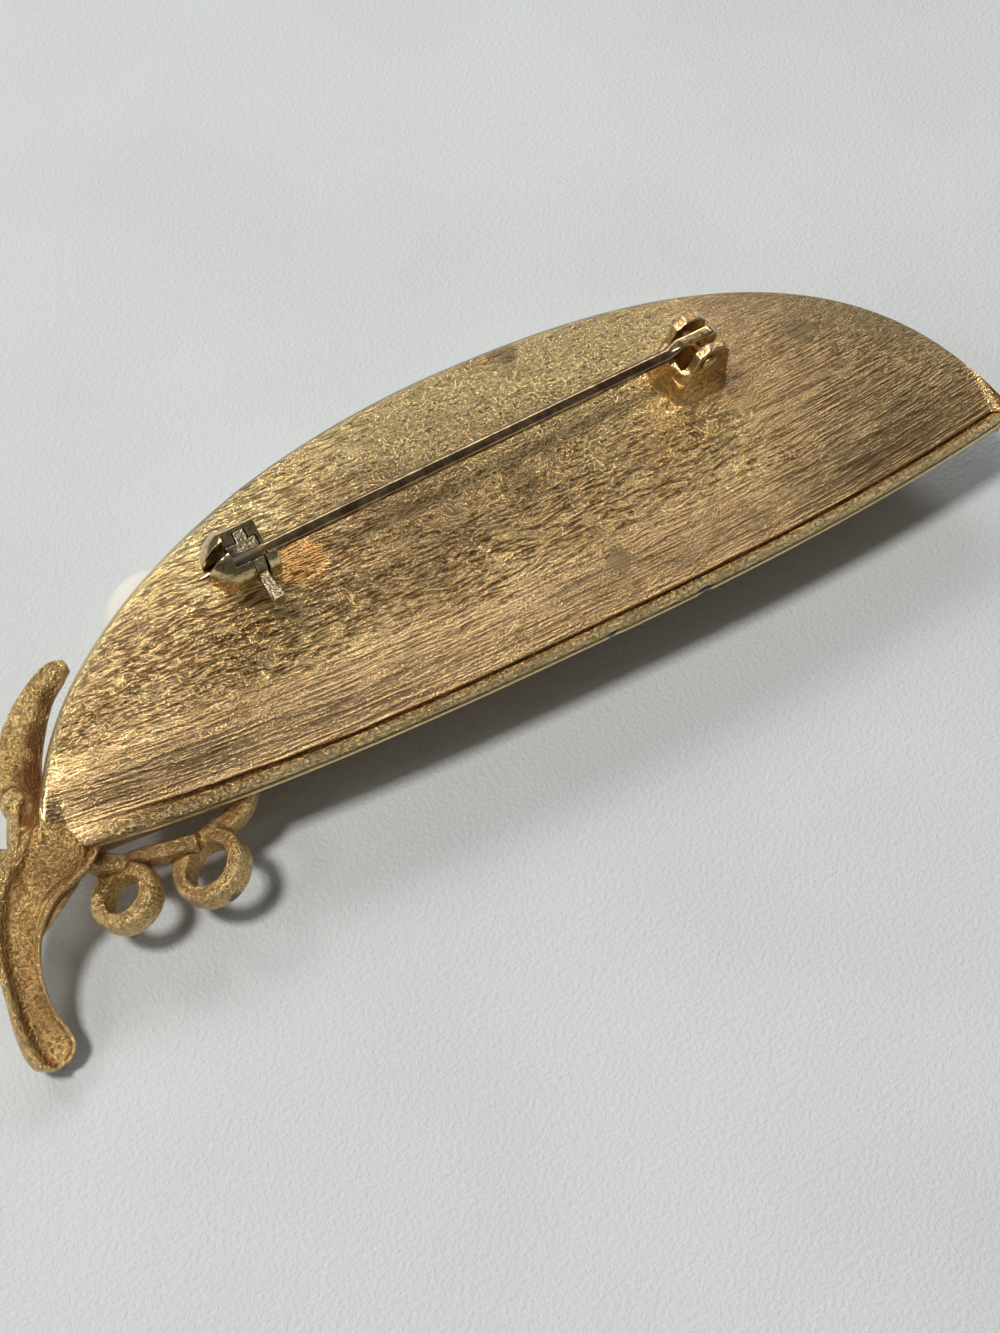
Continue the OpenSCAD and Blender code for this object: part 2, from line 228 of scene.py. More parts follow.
def lathe(profile: Table, centre: Table, axis: int, steps: int) -> Shape:
    """Turns a profile about an axis.

    Args:
        profile: Rows of place along the axis and radius.
        centre: A point that the axis passes through.
        axis: 0 for X, 1 for Y and 2 for Z.
        steps: Number of steps round.

    Returns:
        The closed shape.
    """
    turn = turns(steps)
    first = (axis + 1) % 3
    second = (axis + 2) % 3
    rings = []
    for along, radius in profile:
        ring = np.tile(np.asarray(centre, float), (steps, 1))
        ring[:, axis] += along
        ring[:, first] += radius * np.cos(turn)
        ring[:, second] += radius * np.sin(turn)
        rings.append(ring)
    return loft(rings)


def extruded(outline: Table, across: int, low: float, high: float) -> Shape:
    """Draws a flat outline out along an axis.

    Args:
        outline: Rows of the two coordinates that aren't the axis, in the order X, Y, Z.
        across: The axis, 0 for X, 1 for Y and 2 for Z.
        low: Where it starts on the axis.
        high: Where it ends.

    Returns:
        The closed shape.
    """
    outline = np.asarray(outline, float)
    rings = [np.insert(outline, across, place, axis=1) for place in (low, high)]
    return loft(rings)


def rotation(axis: int, degrees: float) -> Rows:
    """Returns the matrix of a turn about an axis: 0 for X, 1 for Y and 2 for Z."""
    angle = math.radians(degrees)
    first = (axis + 1) % 3
    second = (axis + 2) % 3
    matrix = np.eye(3)
    matrix[first, first] = matrix[second, second] = math.cos(angle)
    matrix[first, second] = -math.sin(angle)
    matrix[second, first] = math.sin(angle)
    return matrix


def block(x: tuple, y: tuple, z: tuple) -> Shape:
    """Returns a block between two places on each axis."""
    corners = [(y[0], z[0]), (y[1], z[0]), (y[1], z[1]), (y[0], z[1])]
    return extruded(corners, 0, *x)


def swept(path: Rows, section: Rows) -> Shape:
    """Sweeps a section along a path.

    Args:
        path: Rows of x, y, z, half width and half height.
        section: Rows of the share of the half width and of the half height.

    Returns:
        The closed shape.
    """
    way = np.gradient(path[:, :3], axis=0)
    side = np.stack([way[:, 1], -way[:, 0], np.zeros(len(way))], axis=1)
    side /= np.linalg.norm(side, axis=1)[:, None]
    up = np.cross(side, way)
    up /= np.linalg.norm(up, axis=1)[:, None]
    rings = []
    for row, across, rise in zip(path, side, up):
        wide = np.outer(section[:, 0] * row[3], across)
        high = np.outer(section[:, 1] * row[4], rise)
        rings.append(row[:3] + wide + high)
    return loft(rings)


def linked(name: str, data: bpy.types.ID) -> bpy.types.Object:
    """Returns a new object that holds the data, linked into the scene."""
    thing = bpy.data.objects.new(name, data)
    bpy.context.scene.collection.objects.link(thing)
    return thing


class Workshop:
    """Cuts and joins shapes with modifiers that are applied at once."""

    @staticmethod
    def applied(shape: Shape, dress: list[dict], cutters: Sequence[Shape]) -> Shape:
        """Applies modifiers to a shape.

        Args:
            shape: The shape to work on.
            dress: The settings of each modifier, with its kind under "type".
            cutters: Shapes to cut away before those modifiers.

        Returns:
            The new shape.
        """
        body = linked("work", shape.mesh("work"))
        tools = [linked("cutter", cutter.mesh("cutter")) for cutter in cutters]
        for tool in tools:
            cut = body.modifiers.new("cut", "BOOLEAN")
            cut.operation = "DIFFERENCE"
            cut.solver = "EXACT"
            cut.object = tool
        for settings in dress:
            modifier = body.modifiers.new("work", settings["type"])
            for key, value in settings.items():
                if key != "type":
                    setattr(modifier, key, value)
        bpy.context.view_layer.update()
        graph = bpy.context.evaluated_depsgraph_get()
        mesh = bpy.data.meshes.new_from_object(body.evaluated_get(graph))
        points = np.empty(len(mesh.vertices) * 3)
        mesh.vertices.foreach_get("co", points)
        faces = [tuple(p.vertices) for p in mesh.polygons]
        for thing in [body, *tools]:
            bpy.data.objects.remove(thing)
        return Shape(points.reshape(-1, 3), faces)

    @staticmethod
    def cut(shape: Shape, cutters: Sequence[Shape]) -> Shape:
        """Returns the shape with the cutters taken away."""
        return Workshop.applied(shape, [], cutters)

    @staticmethod
    def cast(shape: Shape, voxel: float, softening: int, cutters: Sequence[Shape] = ()) -> Shape:
        """Joins overlapping shapes into one skin with softened edges, as casting does.

        Args:
            shape: The shapes, in one mesh.
            voxel: The skin's fineness, in millimetres.
            softening: Number of softening steps.
            cutters: Shapes to cut away first.

        Returns:
            The skin.
        """
        remesh = {"type": "REMESH", "mode": "VOXEL", "voxel_size": voxel}
        soft = {"type": "SMOOTH", "factor": 0.5, "iterations": softening}
        return Workshop.applied(shape, [remesh, soft], cutters)


def ridge_values(mesh: bpy.types.Mesh, reach: float, steps: int) -> Rows:
    """Measures how far each point of a mesh stands out from its surroundings.

    Args:
        mesh: The mesh, in millimetres.
        reach: The curve's radius, in millimetres, that counts as a full edge.
        steps: How many times the result is evened out over neighbouring points.

    Returns:
        A value a point, from -1 in a sharp hollow to 1 on a sharp edge.
    """
    count = len(mesh.vertices)
    edges = np.empty(len(mesh.edges) * 2, dtype=np.int64)
    mesh.edges.foreach_get("vertices", edges)
    edges = edges.reshape(-1, 2)
    points = np.empty(count * 3)
    mesh.vertices.foreach_get("co", points)
    points = points.reshape(-1, 3)
    normals = np.empty(count * 3)
    mesh.vertices.foreach_get("normal", normals)
    normals = normals.reshape(-1, 3)
    degree = np.maximum(np.bincount(edges.ravel(), minlength=count), 1)

    def around(rows: Rows) -> Rows:
        """Returns the mean of each point's neighbours."""
        total = np.zeros_like(rows)
        np.add.at(total, edges[:, 0], rows[edges[:, 1]])
        np.add.at(total, edges[:, 1], rows[edges[:, 0]])
        return total / (degree[:, None] if rows.ndim > 1 else degree)

    length = np.linalg.norm(points[edges[:, 0]] - points[edges[:, 1]], axis=1).mean()
    bend = -((around(points) - points) * normals).sum(axis=1) * 4 / length**2
    for _ in range(steps):
        bend = (bend + around(bend)) / 2
    return np.clip(bend * reach, -1, 1)


# Nodes of the finishes


class Wiring:
    """Adds nodes to a node tree and joins their sockets."""

    def __init__(self, tree: bpy.types.NodeTree) -> None:
        """Keeps the tree that the nodes go into."""
        self.tree = tree

    def add(self, kind: str, **settings: object) -> bpy.types.Node:
        """Returns a new node of a kind, with its settings."""
        node = self.tree.nodes.new(kind)
        for name, value in settings.items():
            setattr(node, name, value)
        return node

    def feed(self, socket: Socket, value: object) -> None:
        """Links a socket's value into an input, or sets it there where it is a constant."""
        if isinstance(value, bpy.types.NodeSocket):
            self.tree.links.new(value, socket)
        else:
            socket.default_value = value

    def fed(self, kind: str, inputs: dict, **settings: object) -> bpy.types.Node:
        """Returns a new node of a kind, with its inputs fed by name or by number."""
        node = self.add(kind, **settings)
        for key, value in inputs.items():
            self.feed(node.inputs[key], value)
        return node

    def math(self, operation: str, first: object, second: object) -> Socket:
        """Returns what an operation makes of two values."""
        return self.fed("ShaderNodeMath", {0: first, 1: second}, operation=operation).outputs[0]

    def plus(self, first: object, second: object) -> Socket:
        """Returns the sum of two values."""
        return self.math("ADD", first, second)

    def minus(self, first: object, second: object) -> Socket:
        """Returns the first value less the second."""
        return self.math("SUBTRACT", first, second)

    def times(self, first: object, second: object) -> Socket:
        """Returns the product of two values."""
        return self.math("MULTIPLY", first, second)

    def over(self, first: object, second: object) -> Socket:
        """Returns the first value divided by the second."""
        return self.math("DIVIDE", first, second)

    def most(self, first: object, second: object) -> Socket:
        """Returns the larger of two values."""
        return self.math("MAXIMUM", first, second)

    def distance(self, first: object, second: object) -> Socket:
        """Returns the distance between two places."""
        inputs = {0: first, 1: second}
        return self.fed("ShaderNodeVectorMath", inputs, operation="DISTANCE").outputs[1]

    def three(self, x: object, y: object, z: object) -> Socket:
        """Returns a vector of three values."""
        return self.fed("ShaderNodeCombineXYZ", {0: x, 1: y, 2: z}).outputs[0]

    def parts(self, vector: Socket) -> tuple[Socket, Socket, Socket]:
        """Returns a vector's three values."""
        node = self.fed("ShaderNodeSeparateXYZ", {0: vector})
        return node.outputs[0], node.outputs[1], node.outputs[2]

    def spread(
        self, value: object, low: object, high: object, start: object = 0.0, end: object = 1.0
    ) -> Socket:
        """Spreads a value smoothly over a new range.

        Args:
            value: The value.
            low: Where the old range starts.
            high: Where it ends.
            start: The new value at low.
            end: The new value at high.

        Returns:
            The new value's socket.
        """
        inputs = {
            "Value": value,
            "From Min": low,
            "From Max": high,
            "To Min": start,
            "To Max": end,
        }
        node = self.fed("ShaderNodeMapRange", inputs, interpolation_type="SMOOTHSTEP")
        return node.outputs["Result"]

    def blend(self, share: object, first: object, second: object) -> Socket:
        """Returns a value between two, by a share."""
        inputs = {0: share, 2: first, 3: second}
        return self.fed("ShaderNodeMix", inputs, data_type="FLOAT").outputs[0]

    def colour(self, share: object, first: object, second: object) -> Socket:
        """Returns a colour between two, by a share."""
        both = [(*value, 1.0) if isinstance(value, tuple) else value for value in (first, second)]
        inputs = {0: share, 6: both[0], 7: both[1]}
        return self.fed("ShaderNodeMix", inputs, data_type="RGBA").outputs[2]

    def noise(self, place: Socket, scale: object, detail: float, rough: float) -> Socket:
        """Returns a noise of the place, from 0 to 1."""
        inputs = {"Vector": place, "Scale": scale, "Detail": detail, "Roughness": rough}
        return self.fed("ShaderNodeTexNoise", inputs).outputs[0]

    def kept(self, name: str) -> bpy.types.Node:
        """Returns the node of a value that is kept with the mesh."""
        return self.add("ShaderNodeAttribute", attribute_name=name)

    def place(self) -> Socket:
        """Returns the place on the piece in the row frame, in millimetres."""
        spot = self.add("ShaderNodeTexCoord").outputs["Object"]
        inputs = {0: spot, "Scale": 1 / MM}
        return self.fed("ShaderNodeVectorMath", inputs, operation="SCALE").outputs[0]

    def effect(self, tree: bpy.types.NodeTree, **given: object) -> bpy.types.Node:
        """Returns a placed effect, with its inputs fed by name."""
        return self.fed("ShaderNodeGroup", given, node_tree=tree)


class Effects:
    """The effects that several finishes share, each built once as a node group."""

    sparkle_fineness = 2.1
    spot_fineness = 1.6
    wear_fineness = 1.4
    wear_ragged = 1.1

    def __init__(self) -> None:
        """Builds every effect."""
        self.brushing = self._brushing()
        self.grain = self._grain()
        self.spot = self._spot()
        self.wear = self._wear()

    @staticmethod
    def _group(name: str, takes: tuple[str, ...], gives: tuple[str, ...]) -> tuple:
        """Starts a node group.

        Args:
            name: The group's name.
            takes: Its inputs' names. Place and Centre are vectors, and the others are values.
            gives: Its outputs' names, which are all values.

        Returns:
            The tree, the wiring, the inputs by name and the outputs by name.
        """
        tree = bpy.data.node_groups.new(name, "ShaderNodeTree")
        for key in takes:
            kind = "NodeSocketVector" if key in ("Place", "Centre") else "NodeSocketFloat"
            tree.interface.new_socket(name=key, in_out="INPUT", socket_type=kind)
        for key in gives:
            tree.interface.new_socket(name=key, in_out="OUTPUT", socket_type="NodeSocketFloat")
        wires = Wiring(tree)
        source = wires.add("NodeGroupInput")
        sink = wires.add("NodeGroupOutput")
        return tree, wires, source.outputs, sink.inputs

    def _brushing(self) -> bpy.types.NodeTree:
        """Returns the effect of brushed lines along X: their height, from 0 to 1."""
        takes = ("Place", "Length", "Spacing", "Wave")
        tree, wires, takes, gives = self._group("Brushing", takes, ("Lines",))
        x, y, z = wires.parts(takes["Place"])
        wave = wires.noise(takes["Place"], scale=0.35, detail=2.0, rough=0.5)
        sway = wires.times(wires.minus(wave, 0.5), takes["Wave"])
        along = wires.over(x, takes["Length"])
        across = wires.over(wires.plus(y, sway), takes["Spacing"])
        rise = wires.over(z, takes["Spacing"])
        drawn = wires.three(along, across, rise)
        lines = wires.noise(drawn, scale=1.0, detail=2.0, rough=0.55)
        wires.feed(gives["Lines"], wires.spread(lines, low=0.28, high=0.72))
        return tree

    def _grain(self) -> bpy.types.NodeTree:
        """Returns the effect of a cast metal's grain: its height, and rare bright points."""
        takes = ("Place", "Size")
        tree, wires, takes, gives = self._group("Grain", takes, ("Height", "Sparkle"))
        scale = wires.over(1.0, takes["Size"])
        grain = wires.noise(takes["Place"], scale=scale, detail=3.0, rough=0.6)
        wires.feed(gives["Height"], wires.spread(grain, low=0.25, high=0.75))
        fine_scale = wires.times(scale, self.sparkle_fineness)
        fine = wires.noise(takes["Place"], scale=fine_scale, detail=1.0, rough=0.5)
        wires.feed(gives["Sparkle"], wires.spread(fine, low=0.66, high=0.78))
        return tree

    def _spot(self) -> bpy.types.NodeTree:
        """Returns the effect of a ragged spot round a centre: 1 inside it and 0 outside."""
        takes = ("Place", "Centre", "Radius", "Ragged")
        tree, wires, takes, gives = self._group("Spot", takes, ("Mask",))
        share = wires.over(wires.distance(takes["Place"], takes["Centre"]), takes["Radius"])
        scale = wires.over(self.spot_fineness, takes["Radius"])
        noise = wires.noise(takes["Place"], scale=scale, detail=3.0, rough=0.6)
        torn = wires.times(wires.minus(noise, 0.5), takes["Ragged"])
        mask = wires.spread(wires.plus(share, torn), low=0.55, high=1.0, start=1.0, end=0.0)
        wires.feed(gives["Mask"], mask)
        return tree

    def _wear(self) -> bpy.types.NodeTree:
        """Returns a mask of wear on edges that stand out, and a mask of hollows."""
        takes = ("Place", "Ridge", "Amount")
        tree, wires, takes, gives = self._group("Wear", takes, ("Worn", "Hollows"))
        noise = wires.noise(takes["Place"], scale=self.wear_fineness, detail=4.0, rough=0.65)
        torn = wires.times(wires.minus(noise, 0.5), self.wear_ragged)
        edge = wires.spread(wires.plus(takes["Ridge"], torn), low=0.3, high=0.8)
        wires.feed(gives["Worn"], wires.times(edge, takes["Amount"]))
        hollow = wires.minus(wires.times(torn, 0.5), takes["Ridge"])
        wires.feed(gives["Hollows"], wires.spread(hollow, low=0.1, high=0.7))
        return tree


@dataclass(frozen=True)
class Mark:
    """A spot on the brooch, by its place in millimetres from the pod's stem end."""

    place: tuple[float, float, float]
    radius: float
    strength: float = 1.0
    ragged: float = 1.4

    def mask(self, wires: Wiring, effects: Effects, place: Socket) -> Socket:
        """Returns the spot's mask on the place given, in the row frame."""
        node = wires.effect(
            effects.spot,
            Place=place,
            Centre=tuple(float(v) for v in np.array(self.place) - ORIGIN),
            Radius=self.radius,
            Ragged=self.ragged,
        )
        return wires.times(node.outputs["Mask"], self.strength)


def masked(wires: Wiring, effects: Effects, place: Socket, marks: tuple[Mark, ...]) -> Socket:
    """Returns the strongest of several marks' masks."""
    total = marks[0].mask(wires, effects, place)
    for mark in marks[1:]:
        total = wires.most(total, mark.mask(wires, effects, place))
    return total


class Finish:
    """A material whose colour, roughness and height are worked out by nodes."""

    name: str

    def settings(self) -> dict[str, object]:
        """Returns the shader's plain settings, by their names."""
        return {"Metallic": 1.0}

    def layers(self, wires: Wiring, effects: Effects) -> tuple[Socket, Socket, Socket]:
        """Returns the colour, the roughness and the height, in millimetres."""
        raise NotImplementedError(self.name)

    def material(self, effects: Effects) -> bpy.types.Material:
        """Builds the finish.

        Args:
            effects: The shared effects.

        Returns:
            The material.
        """
        material = bpy.data.materials.new(self.name)
        material.use_nodes = True
        wires = Wiring(material.node_tree)
        shader = material.node_tree.nodes["Principled BSDF"]
        for key, value in self.settings().items():
            shader.inputs[key].default_value = value
        colour, rough, height = self.layers(wires, effects)
        wires.feed(shader.inputs["Base Color"], colour)
        wires.feed(shader.inputs["Roughness"], rough)
        bump = wires.fed("ShaderNodeBump", {"Distance": MM, "Height": height})
        wires.feed(shader.inputs["Normal"], bump.outputs[0])
        return material


@dataclass(frozen=True)
class CastGold(Finish):
    """Gold plate on a cast surface with a fine grain."""

    name: str
    bright: Colour = (0.84, 0.58, 0.25)
    deep: Colour = (0.25, 0.125, 0.045)
    worn: Colour = (0.92, 0.74, 0.42)
    roughness: float = 0.22
    worn_roughness: float = 0.2
    hollow_roughness: float = 0.2
    grain_size: float = 0.2
    grain_depth: float = 0.05
    pit_share: float = 0.5
    patch_scale: float = 0.45
    patch_share: float = 0.35
    wear: float = 0.5
    hollow_dark: float = 0.7
    marks: tuple[Mark, ...] = ()
    mark_colour: Colour = (0.16, 0.15, 0.14)
    mark_roughness: float = 0.55
    # Spots of painted light and shade, which each finish gives one colour
    painted_shading: tuple[Mark, ...] = ()
    painted_shading_colour: Colour = (0.26, 0.11, 0.035)
    line_depth: float = 0.0
    line_length: float = 1.5
    line_spacing: float = 0.12
    line_wave: float = 0.2

    def layers(self, wires: Wiring, effects: Effects) -> tuple[Socket, Socket, Socket]:
        """Returns the colour, the roughness and the height, in millimetres."""
        place = wires.place()
        grain = wires.effect(effects.grain, Place=place, Size=self.grain_size).outputs["Height"]
        ridge = wires.kept("ridge").outputs["Fac"]
        wear = wires.effect(effects.wear, Place=place, Ridge=ridge, Amount=self.wear)
        worn = wear.outputs["Worn"]
        # Hollows are darkened towards the deep colour and made rougher
        hollow_dark = wires.times(wear.outputs["Hollows"], self.hollow_dark)
        cloud = wires.noise(place, scale=self.patch_scale, detail=3.0, rough=0.6)
        patch = wires.times(wires.spread(cloud, low=0.35, high=0.7), self.patch_share)
        colour = wires.colour(wires.most(patch, hollow_dark), self.bright, self.deep)
        # Painted light and shade: the spots take their own colour
        if self.painted_shading:
            shade = masked(wires, effects, place, self.painted_shading)
            colour = wires.colour(shade, colour, self.painted_shading_colour)
        colour = wires.colour(worn, colour, self.worn)
        pits = wires.spread(grain, low=0.15, high=0.6, start=self.pit_share, end=0.0)
        colour = wires.colour(pits, colour, self.deep)
        rough = wires.blend(worn, self.roughness, self.worn_roughness)
        rough = wires.plus(rough, wires.times(hollow_dark, self.hollow_roughness))
        if self.marks:
            mask = masked(wires, effects, place, self.marks)
            colour = wires.colour(mask, colour, self.mark_colour)
            rough = wires.blend(mask, rough, self.mark_roughness)
        height = wires.times(grain, self.grain_depth)
        if self.line_depth:
            lines = wires.effect(
                effects.brushing,
                Place=wires.kept("along").outputs["Vector"],
                Length=self.line_length,
                Spacing=self.line_spacing,
                Wave=self.line_wave,
            )
            height = wires.plus(height, wires.times(lines.outputs["Lines"], self.line_depth))
        return colour, rough, height


class BackMap:
    """Where the pod's finish changes, as values that its height and its colours share."""

    coarse_lines = {"Length": 1.1, "Spacing": 0.15, "Wave": 0.4}
    fine_lines = {"Length": 4.0, "Spacing": 0.13, "Wave": 0.2}
    pebble_size = 0.15
    bead_grain = 0.24
    # Lengths along the pod and across it over which the brushing turns fine
    fine_along = (40.0, 58.0)
    fine_across = (2.5, 7.0)
    # The pebbled middle: where it fades in and out along the pod, and across it
    pebbled_from = (18.0, 30.0)
    pebbled_to = (46.0, 56.0)
    pebbled_across = (6.0, 13.0)
    pebbled_shares = (0.25, 0.85)

    def __init__(self, wires: Wiring, effects: Effects) -> None:
        """Works out every value."""
        self.place = wires.place()
        lay = wires.kept("lay").outputs["Vector"]
        self.x, y, _ = wires.parts(lay)
        self.bead, self.edge, polish = wires.parts(wires.kept("rims").outputs["Vector"])
        self.smooth = wires.most(self.edge, polish)

        # Lines are coarse and wavy at the stem end, and fine and straight at the tip and the rim
        coarse = wires.effect(effects.brushing, Place=lay, **self.coarse_lines)
        fine = wires.effect(effects.brushing, Place=lay, **self.fine_lines)
        self.coarse = coarse.outputs["Lines"]
        self.fine = fine.outputs["Lines"]
        self.grain = wires.effect(effects.grain, Place=lay, Size=self.pebble_size).outputs["Height"]
        beading = wires.effect(effects.grain, Place=lay, Size=self.bead_grain)
        self.beading = beading.outputs["Height"]
        self.drift = wires.noise(self.place, scale=0.16, detail=2.0, rough=0.5)
        to_tip = wires.spread(self.x, *self.fine_along)
        to_rim = wires.spread(y, *self.fine_across, start=1.0, end=0.0)
        fineness = wires.plus(wires.most(to_tip, to_rim), wires.minus(self.drift, 0.5))
        self.fineness = wires.spread(fineness, low=0.1, high=0.9)
        before = wires.spread(self.x, *self.pebbled_to, start=1.0, end=0.0)
        middle = wires.times(wires.spread(self.x, *self.pebbled_from), before)
        across = wires.spread(y, *self.pebbled_across, *self.pebbled_shares)
        self.pebbled = wires.times(middle, across)


@dataclass(frozen=True)
class BrushedBack(Finish):
    """Gold plate on the pod's brushed back, its bead and its edges."""

    name: str = "brushed_gold"
    bright: Colour = (0.83, 0.61, 0.28)
    tan: Colour = (0.77, 0.54, 0.27)
    deep: Colour = (0.21, 0.105, 0.036)
    pale: Colour = (0.92, 0.72, 0.35)
    charcoal: Colour = (0.12, 0.1, 0.08)
    grey: Colour = (0.2, 0.19, 0.19)
    painted_shade_colour: Colour = (0.42, 0.29, 0.15)
    dark_spot_colour: Colour = (0.07, 0.045, 0.03)
    warm_reflection_colour: Colour = (0.62, 0.34, 0.12)
    coarse_depth: float = 0.085
    fine_depth: float = 0.04
    grain_depth: float = 0.065
    bead_depth: float = 0.24
    # How far the pebbles take the lines away, and how deep they are outside the pebbled middle
    pebble_cover: float = 0.6
    pebble_least: float = 0.35
    edge_relief: float = 0.2
    warm_relief: float = 0.3
    # Shares of the deep colour in coarse lines, fine lines, pebbles, the bead and the patches
    coarse_low: float = 0.95
    fine_low: float = 0.6
    pebble_low: float = 0.8
    bead_low: float = 0.7
    patch_low: float = 0.4
    bead_pale: float = 0.7
    wear: float = 0.8
    coarse_roughness: tuple[float, float] = (0.14, 0.2)
    fine_roughness: float = 0.22
    edge_roughness: float = 0.26
    dark_spot_roughness: float = 0.2
    # Where the smooth arched edge turns from gold to charcoal along the pod
    edge_dark: tuple[float, float] = (12.0, 17.0)
    # Where the groove beside the bead begins along the pod
    groove_start: tuple[float, float] = (4.5, 7.5)
    chips: tuple[Mark, ...] = (
        Mark((34.73, -1.98, 5.7), 0.5),
        Mark((41.37, -2.11, 5.7), 0.62),
        Mark((48.3, -1.98, 5.7), 0.36),
    )
    # Dark, rougher spots: a cluster on the straight edge's side of the catch, and faint ones
    # elsewhere on the back
    dark_spots: tuple[Mark, ...] = (
        Mark((17.65, 7.34, 9.2), 0.75, 0.75),
        Mark((17.49, 5.92, 9.1), 0.65, 0.8),
        Mark((17.65, 8.47, 9.2), 0.45, 0.6),
        Mark((19.37, 6.96, 9.2), 0.45, 0.65),
        Mark((56.08, 9.32, 8.9), 1.3, 0.4),
        Mark((38.75, 17.74, 8.9), 1.2, 0.4),
        Mark((34.53, 8.27, 9.2), 1.6, 0.35),
        Mark((37.32, 1.15, 7.5), 1.0, 0.35),
    )
    # A warm orange reflection painted on the back just past the catch, where the plate is also
    # smoother
    warm: tuple[Mark, ...] = (Mark((20.31, 9.98, 9.2), 1.9, 0.9, 0.3),)
    # Broad patches of painted light and shade: painted sheen in pale yellow, and painted shade in
    # brown
    painted_sheen: tuple[Mark, ...] = (
        Mark((42.5, 12.5, 9.9), 8.0, 0.8),
        Mark((17.0, 14.0, 9.3), 5.0, 0.7),
        Mark((30.0, 17.0, 9.7), 7.0, 0.6),
    )
    painted_shade: tuple[Mark, ...] = (
        Mark((26.0, 8.0, 9.8), 7.5, 0.6),
        Mark((8.0, 5.5, 8.5), 8.0, 0.55),
        Mark((55.0, 8.0, 9.2), 9.0, 0.5),
        Mark((38.0, 4.5, 9.0), 8.0, 0.4),
    )

    def height(self, wires: Wiring, back: BackMap, warm: Socket) -> Socket:
        """Works out the height of the brushing and the grain.

        Args:
            wires: The material's wiring.
            back: Where the finish changes.
            warm: The mask of the smooth spot, whose warm orange is a painted reflection.

        Returns:
            The height, in millimetres.
        """
        coarse = wires.times(back.coarse, self.coarse_depth)
        fine = wires.times(back.fine, self.fine_depth)
        lines = wires.blend(back.fineness, coarse, fine)
        cover = wires.times(back.pebbled, self.pebble_cover)
        lines = wires.times(lines, wires.minus(1.0, cover))
        pebbles = wires.times(back.grain, self.grain_depth)
        pebbles = wires.times(pebbles, wires.plus(self.pebble_least, back.pebbled))
        height = wires.plus(lines, pebbles)
        height = wires.blend(back.smooth, height, wires.times(height, self.edge_relief))
        height = wires.blend(back.bead, height, wires.times(back.beading, self.bead_depth))
        return wires.blend(warm, height, wires.times(height, self.warm_relief))

    def deepness(self, wires: Wiring, effects: Effects, back: BackMap) -> Socket:
        """Works out how dark the plate is, where it lies low, in the groove and in patches.

        Args:
            wires: The material's wiring.
            effects: The shared effects.
            back: Where the finish changes.

        Returns:
            The share of the deep colour.
        """
        low = wires.blend(back.fineness, back.coarse, back.fine)
        low = wires.blend(wires.times(back.pebbled, self.pebble_low), low, back.grain)
        beading = wires.spread(back.beading, low=0.3, high=0.6, start=0.0, end=self.bead_low)
        low = wires.blend(back.bead, low, beading)
        low = wires.spread(low, low=0.1, high=0.65, start=1.0, end=0.0)
        low = wires.times(low, wires.blend(back.fineness, self.coarse_low, self.fine_low))
        groove = wires.times(back.bead, wires.minus(1.0, back.bead))
        groove = wires.spread(groove, low=0.08, high=0.2)
        low = wires.most(low, wires.times(groove, wires.spread(back.x, *self.groove_start)))
        patch = wires.noise(back.place, scale=0.22, detail=4.0, rough=0.65)
        patch = wires.spread(patch, low=0.4, high=0.75, start=0.0, end=self.patch_low)
        ridge = wires.kept("ridge").outputs["Fac"]
        wear = wires.effect(effects.wear, Place=back.place, Ridge=ridge, Amount=self.wear)
        return wires.most(wires.most(low, patch), wear.outputs["Hollows"])

    def layers(self, wires: Wiring, effects: Effects) -> tuple[Socket, Socket, Socket]:
        """Returns the colour, the roughness and the height, in millimetres."""
        back = BackMap(wires, effects)
        painted_sheen, painted_shade, dark_spot, warm, chip = (
            masked(wires, effects, back.place, marks)
            for marks in (self.painted_sheen, self.painted_shade, self.dark_spots, self.warm, self.chips)
        )
        dark_edge = wires.times(back.edge, wires.spread(back.x, *self.edge_dark))
        colour = wires.colour(back.fineness, self.bright, self.tan)
        for share, over in (
            # Painted sheen in pale yellow and painted shade in brown, over broad patches
            (painted_sheen, self.pale),
            (painted_shade, self.painted_shade_colour),
            (wires.times(back.bead, self.bead_pale), self.pale),
            (self.deepness(wires, effects, back), self.deep),
            # The smooth band along the arched edge is painted pale, a painted sheen where it rolls
            # over, and the polished line under the bead is paler too
            (back.smooth, self.pale),
            (dark_edge, self.charcoal),
            (dark_spot, self.dark_spot_colour),
            (warm, self.warm_reflection_colour),
            (chip, self.grey),
        ):
            colour = wires.colour(share, colour, over)
        rough = wires.spread(back.drift, 0.3, 0.7, *self.coarse_roughness)
        rough = wires.blend(back.fineness, rough, self.fine_roughness)
        rough = wires.blend(back.smooth, rough, self.edge_roughness)
        rough = wires.plus(rough, wires.times(dark_spot, self.dark_spot_roughness))
        return colour, rough, self.height(wires, back, warm)


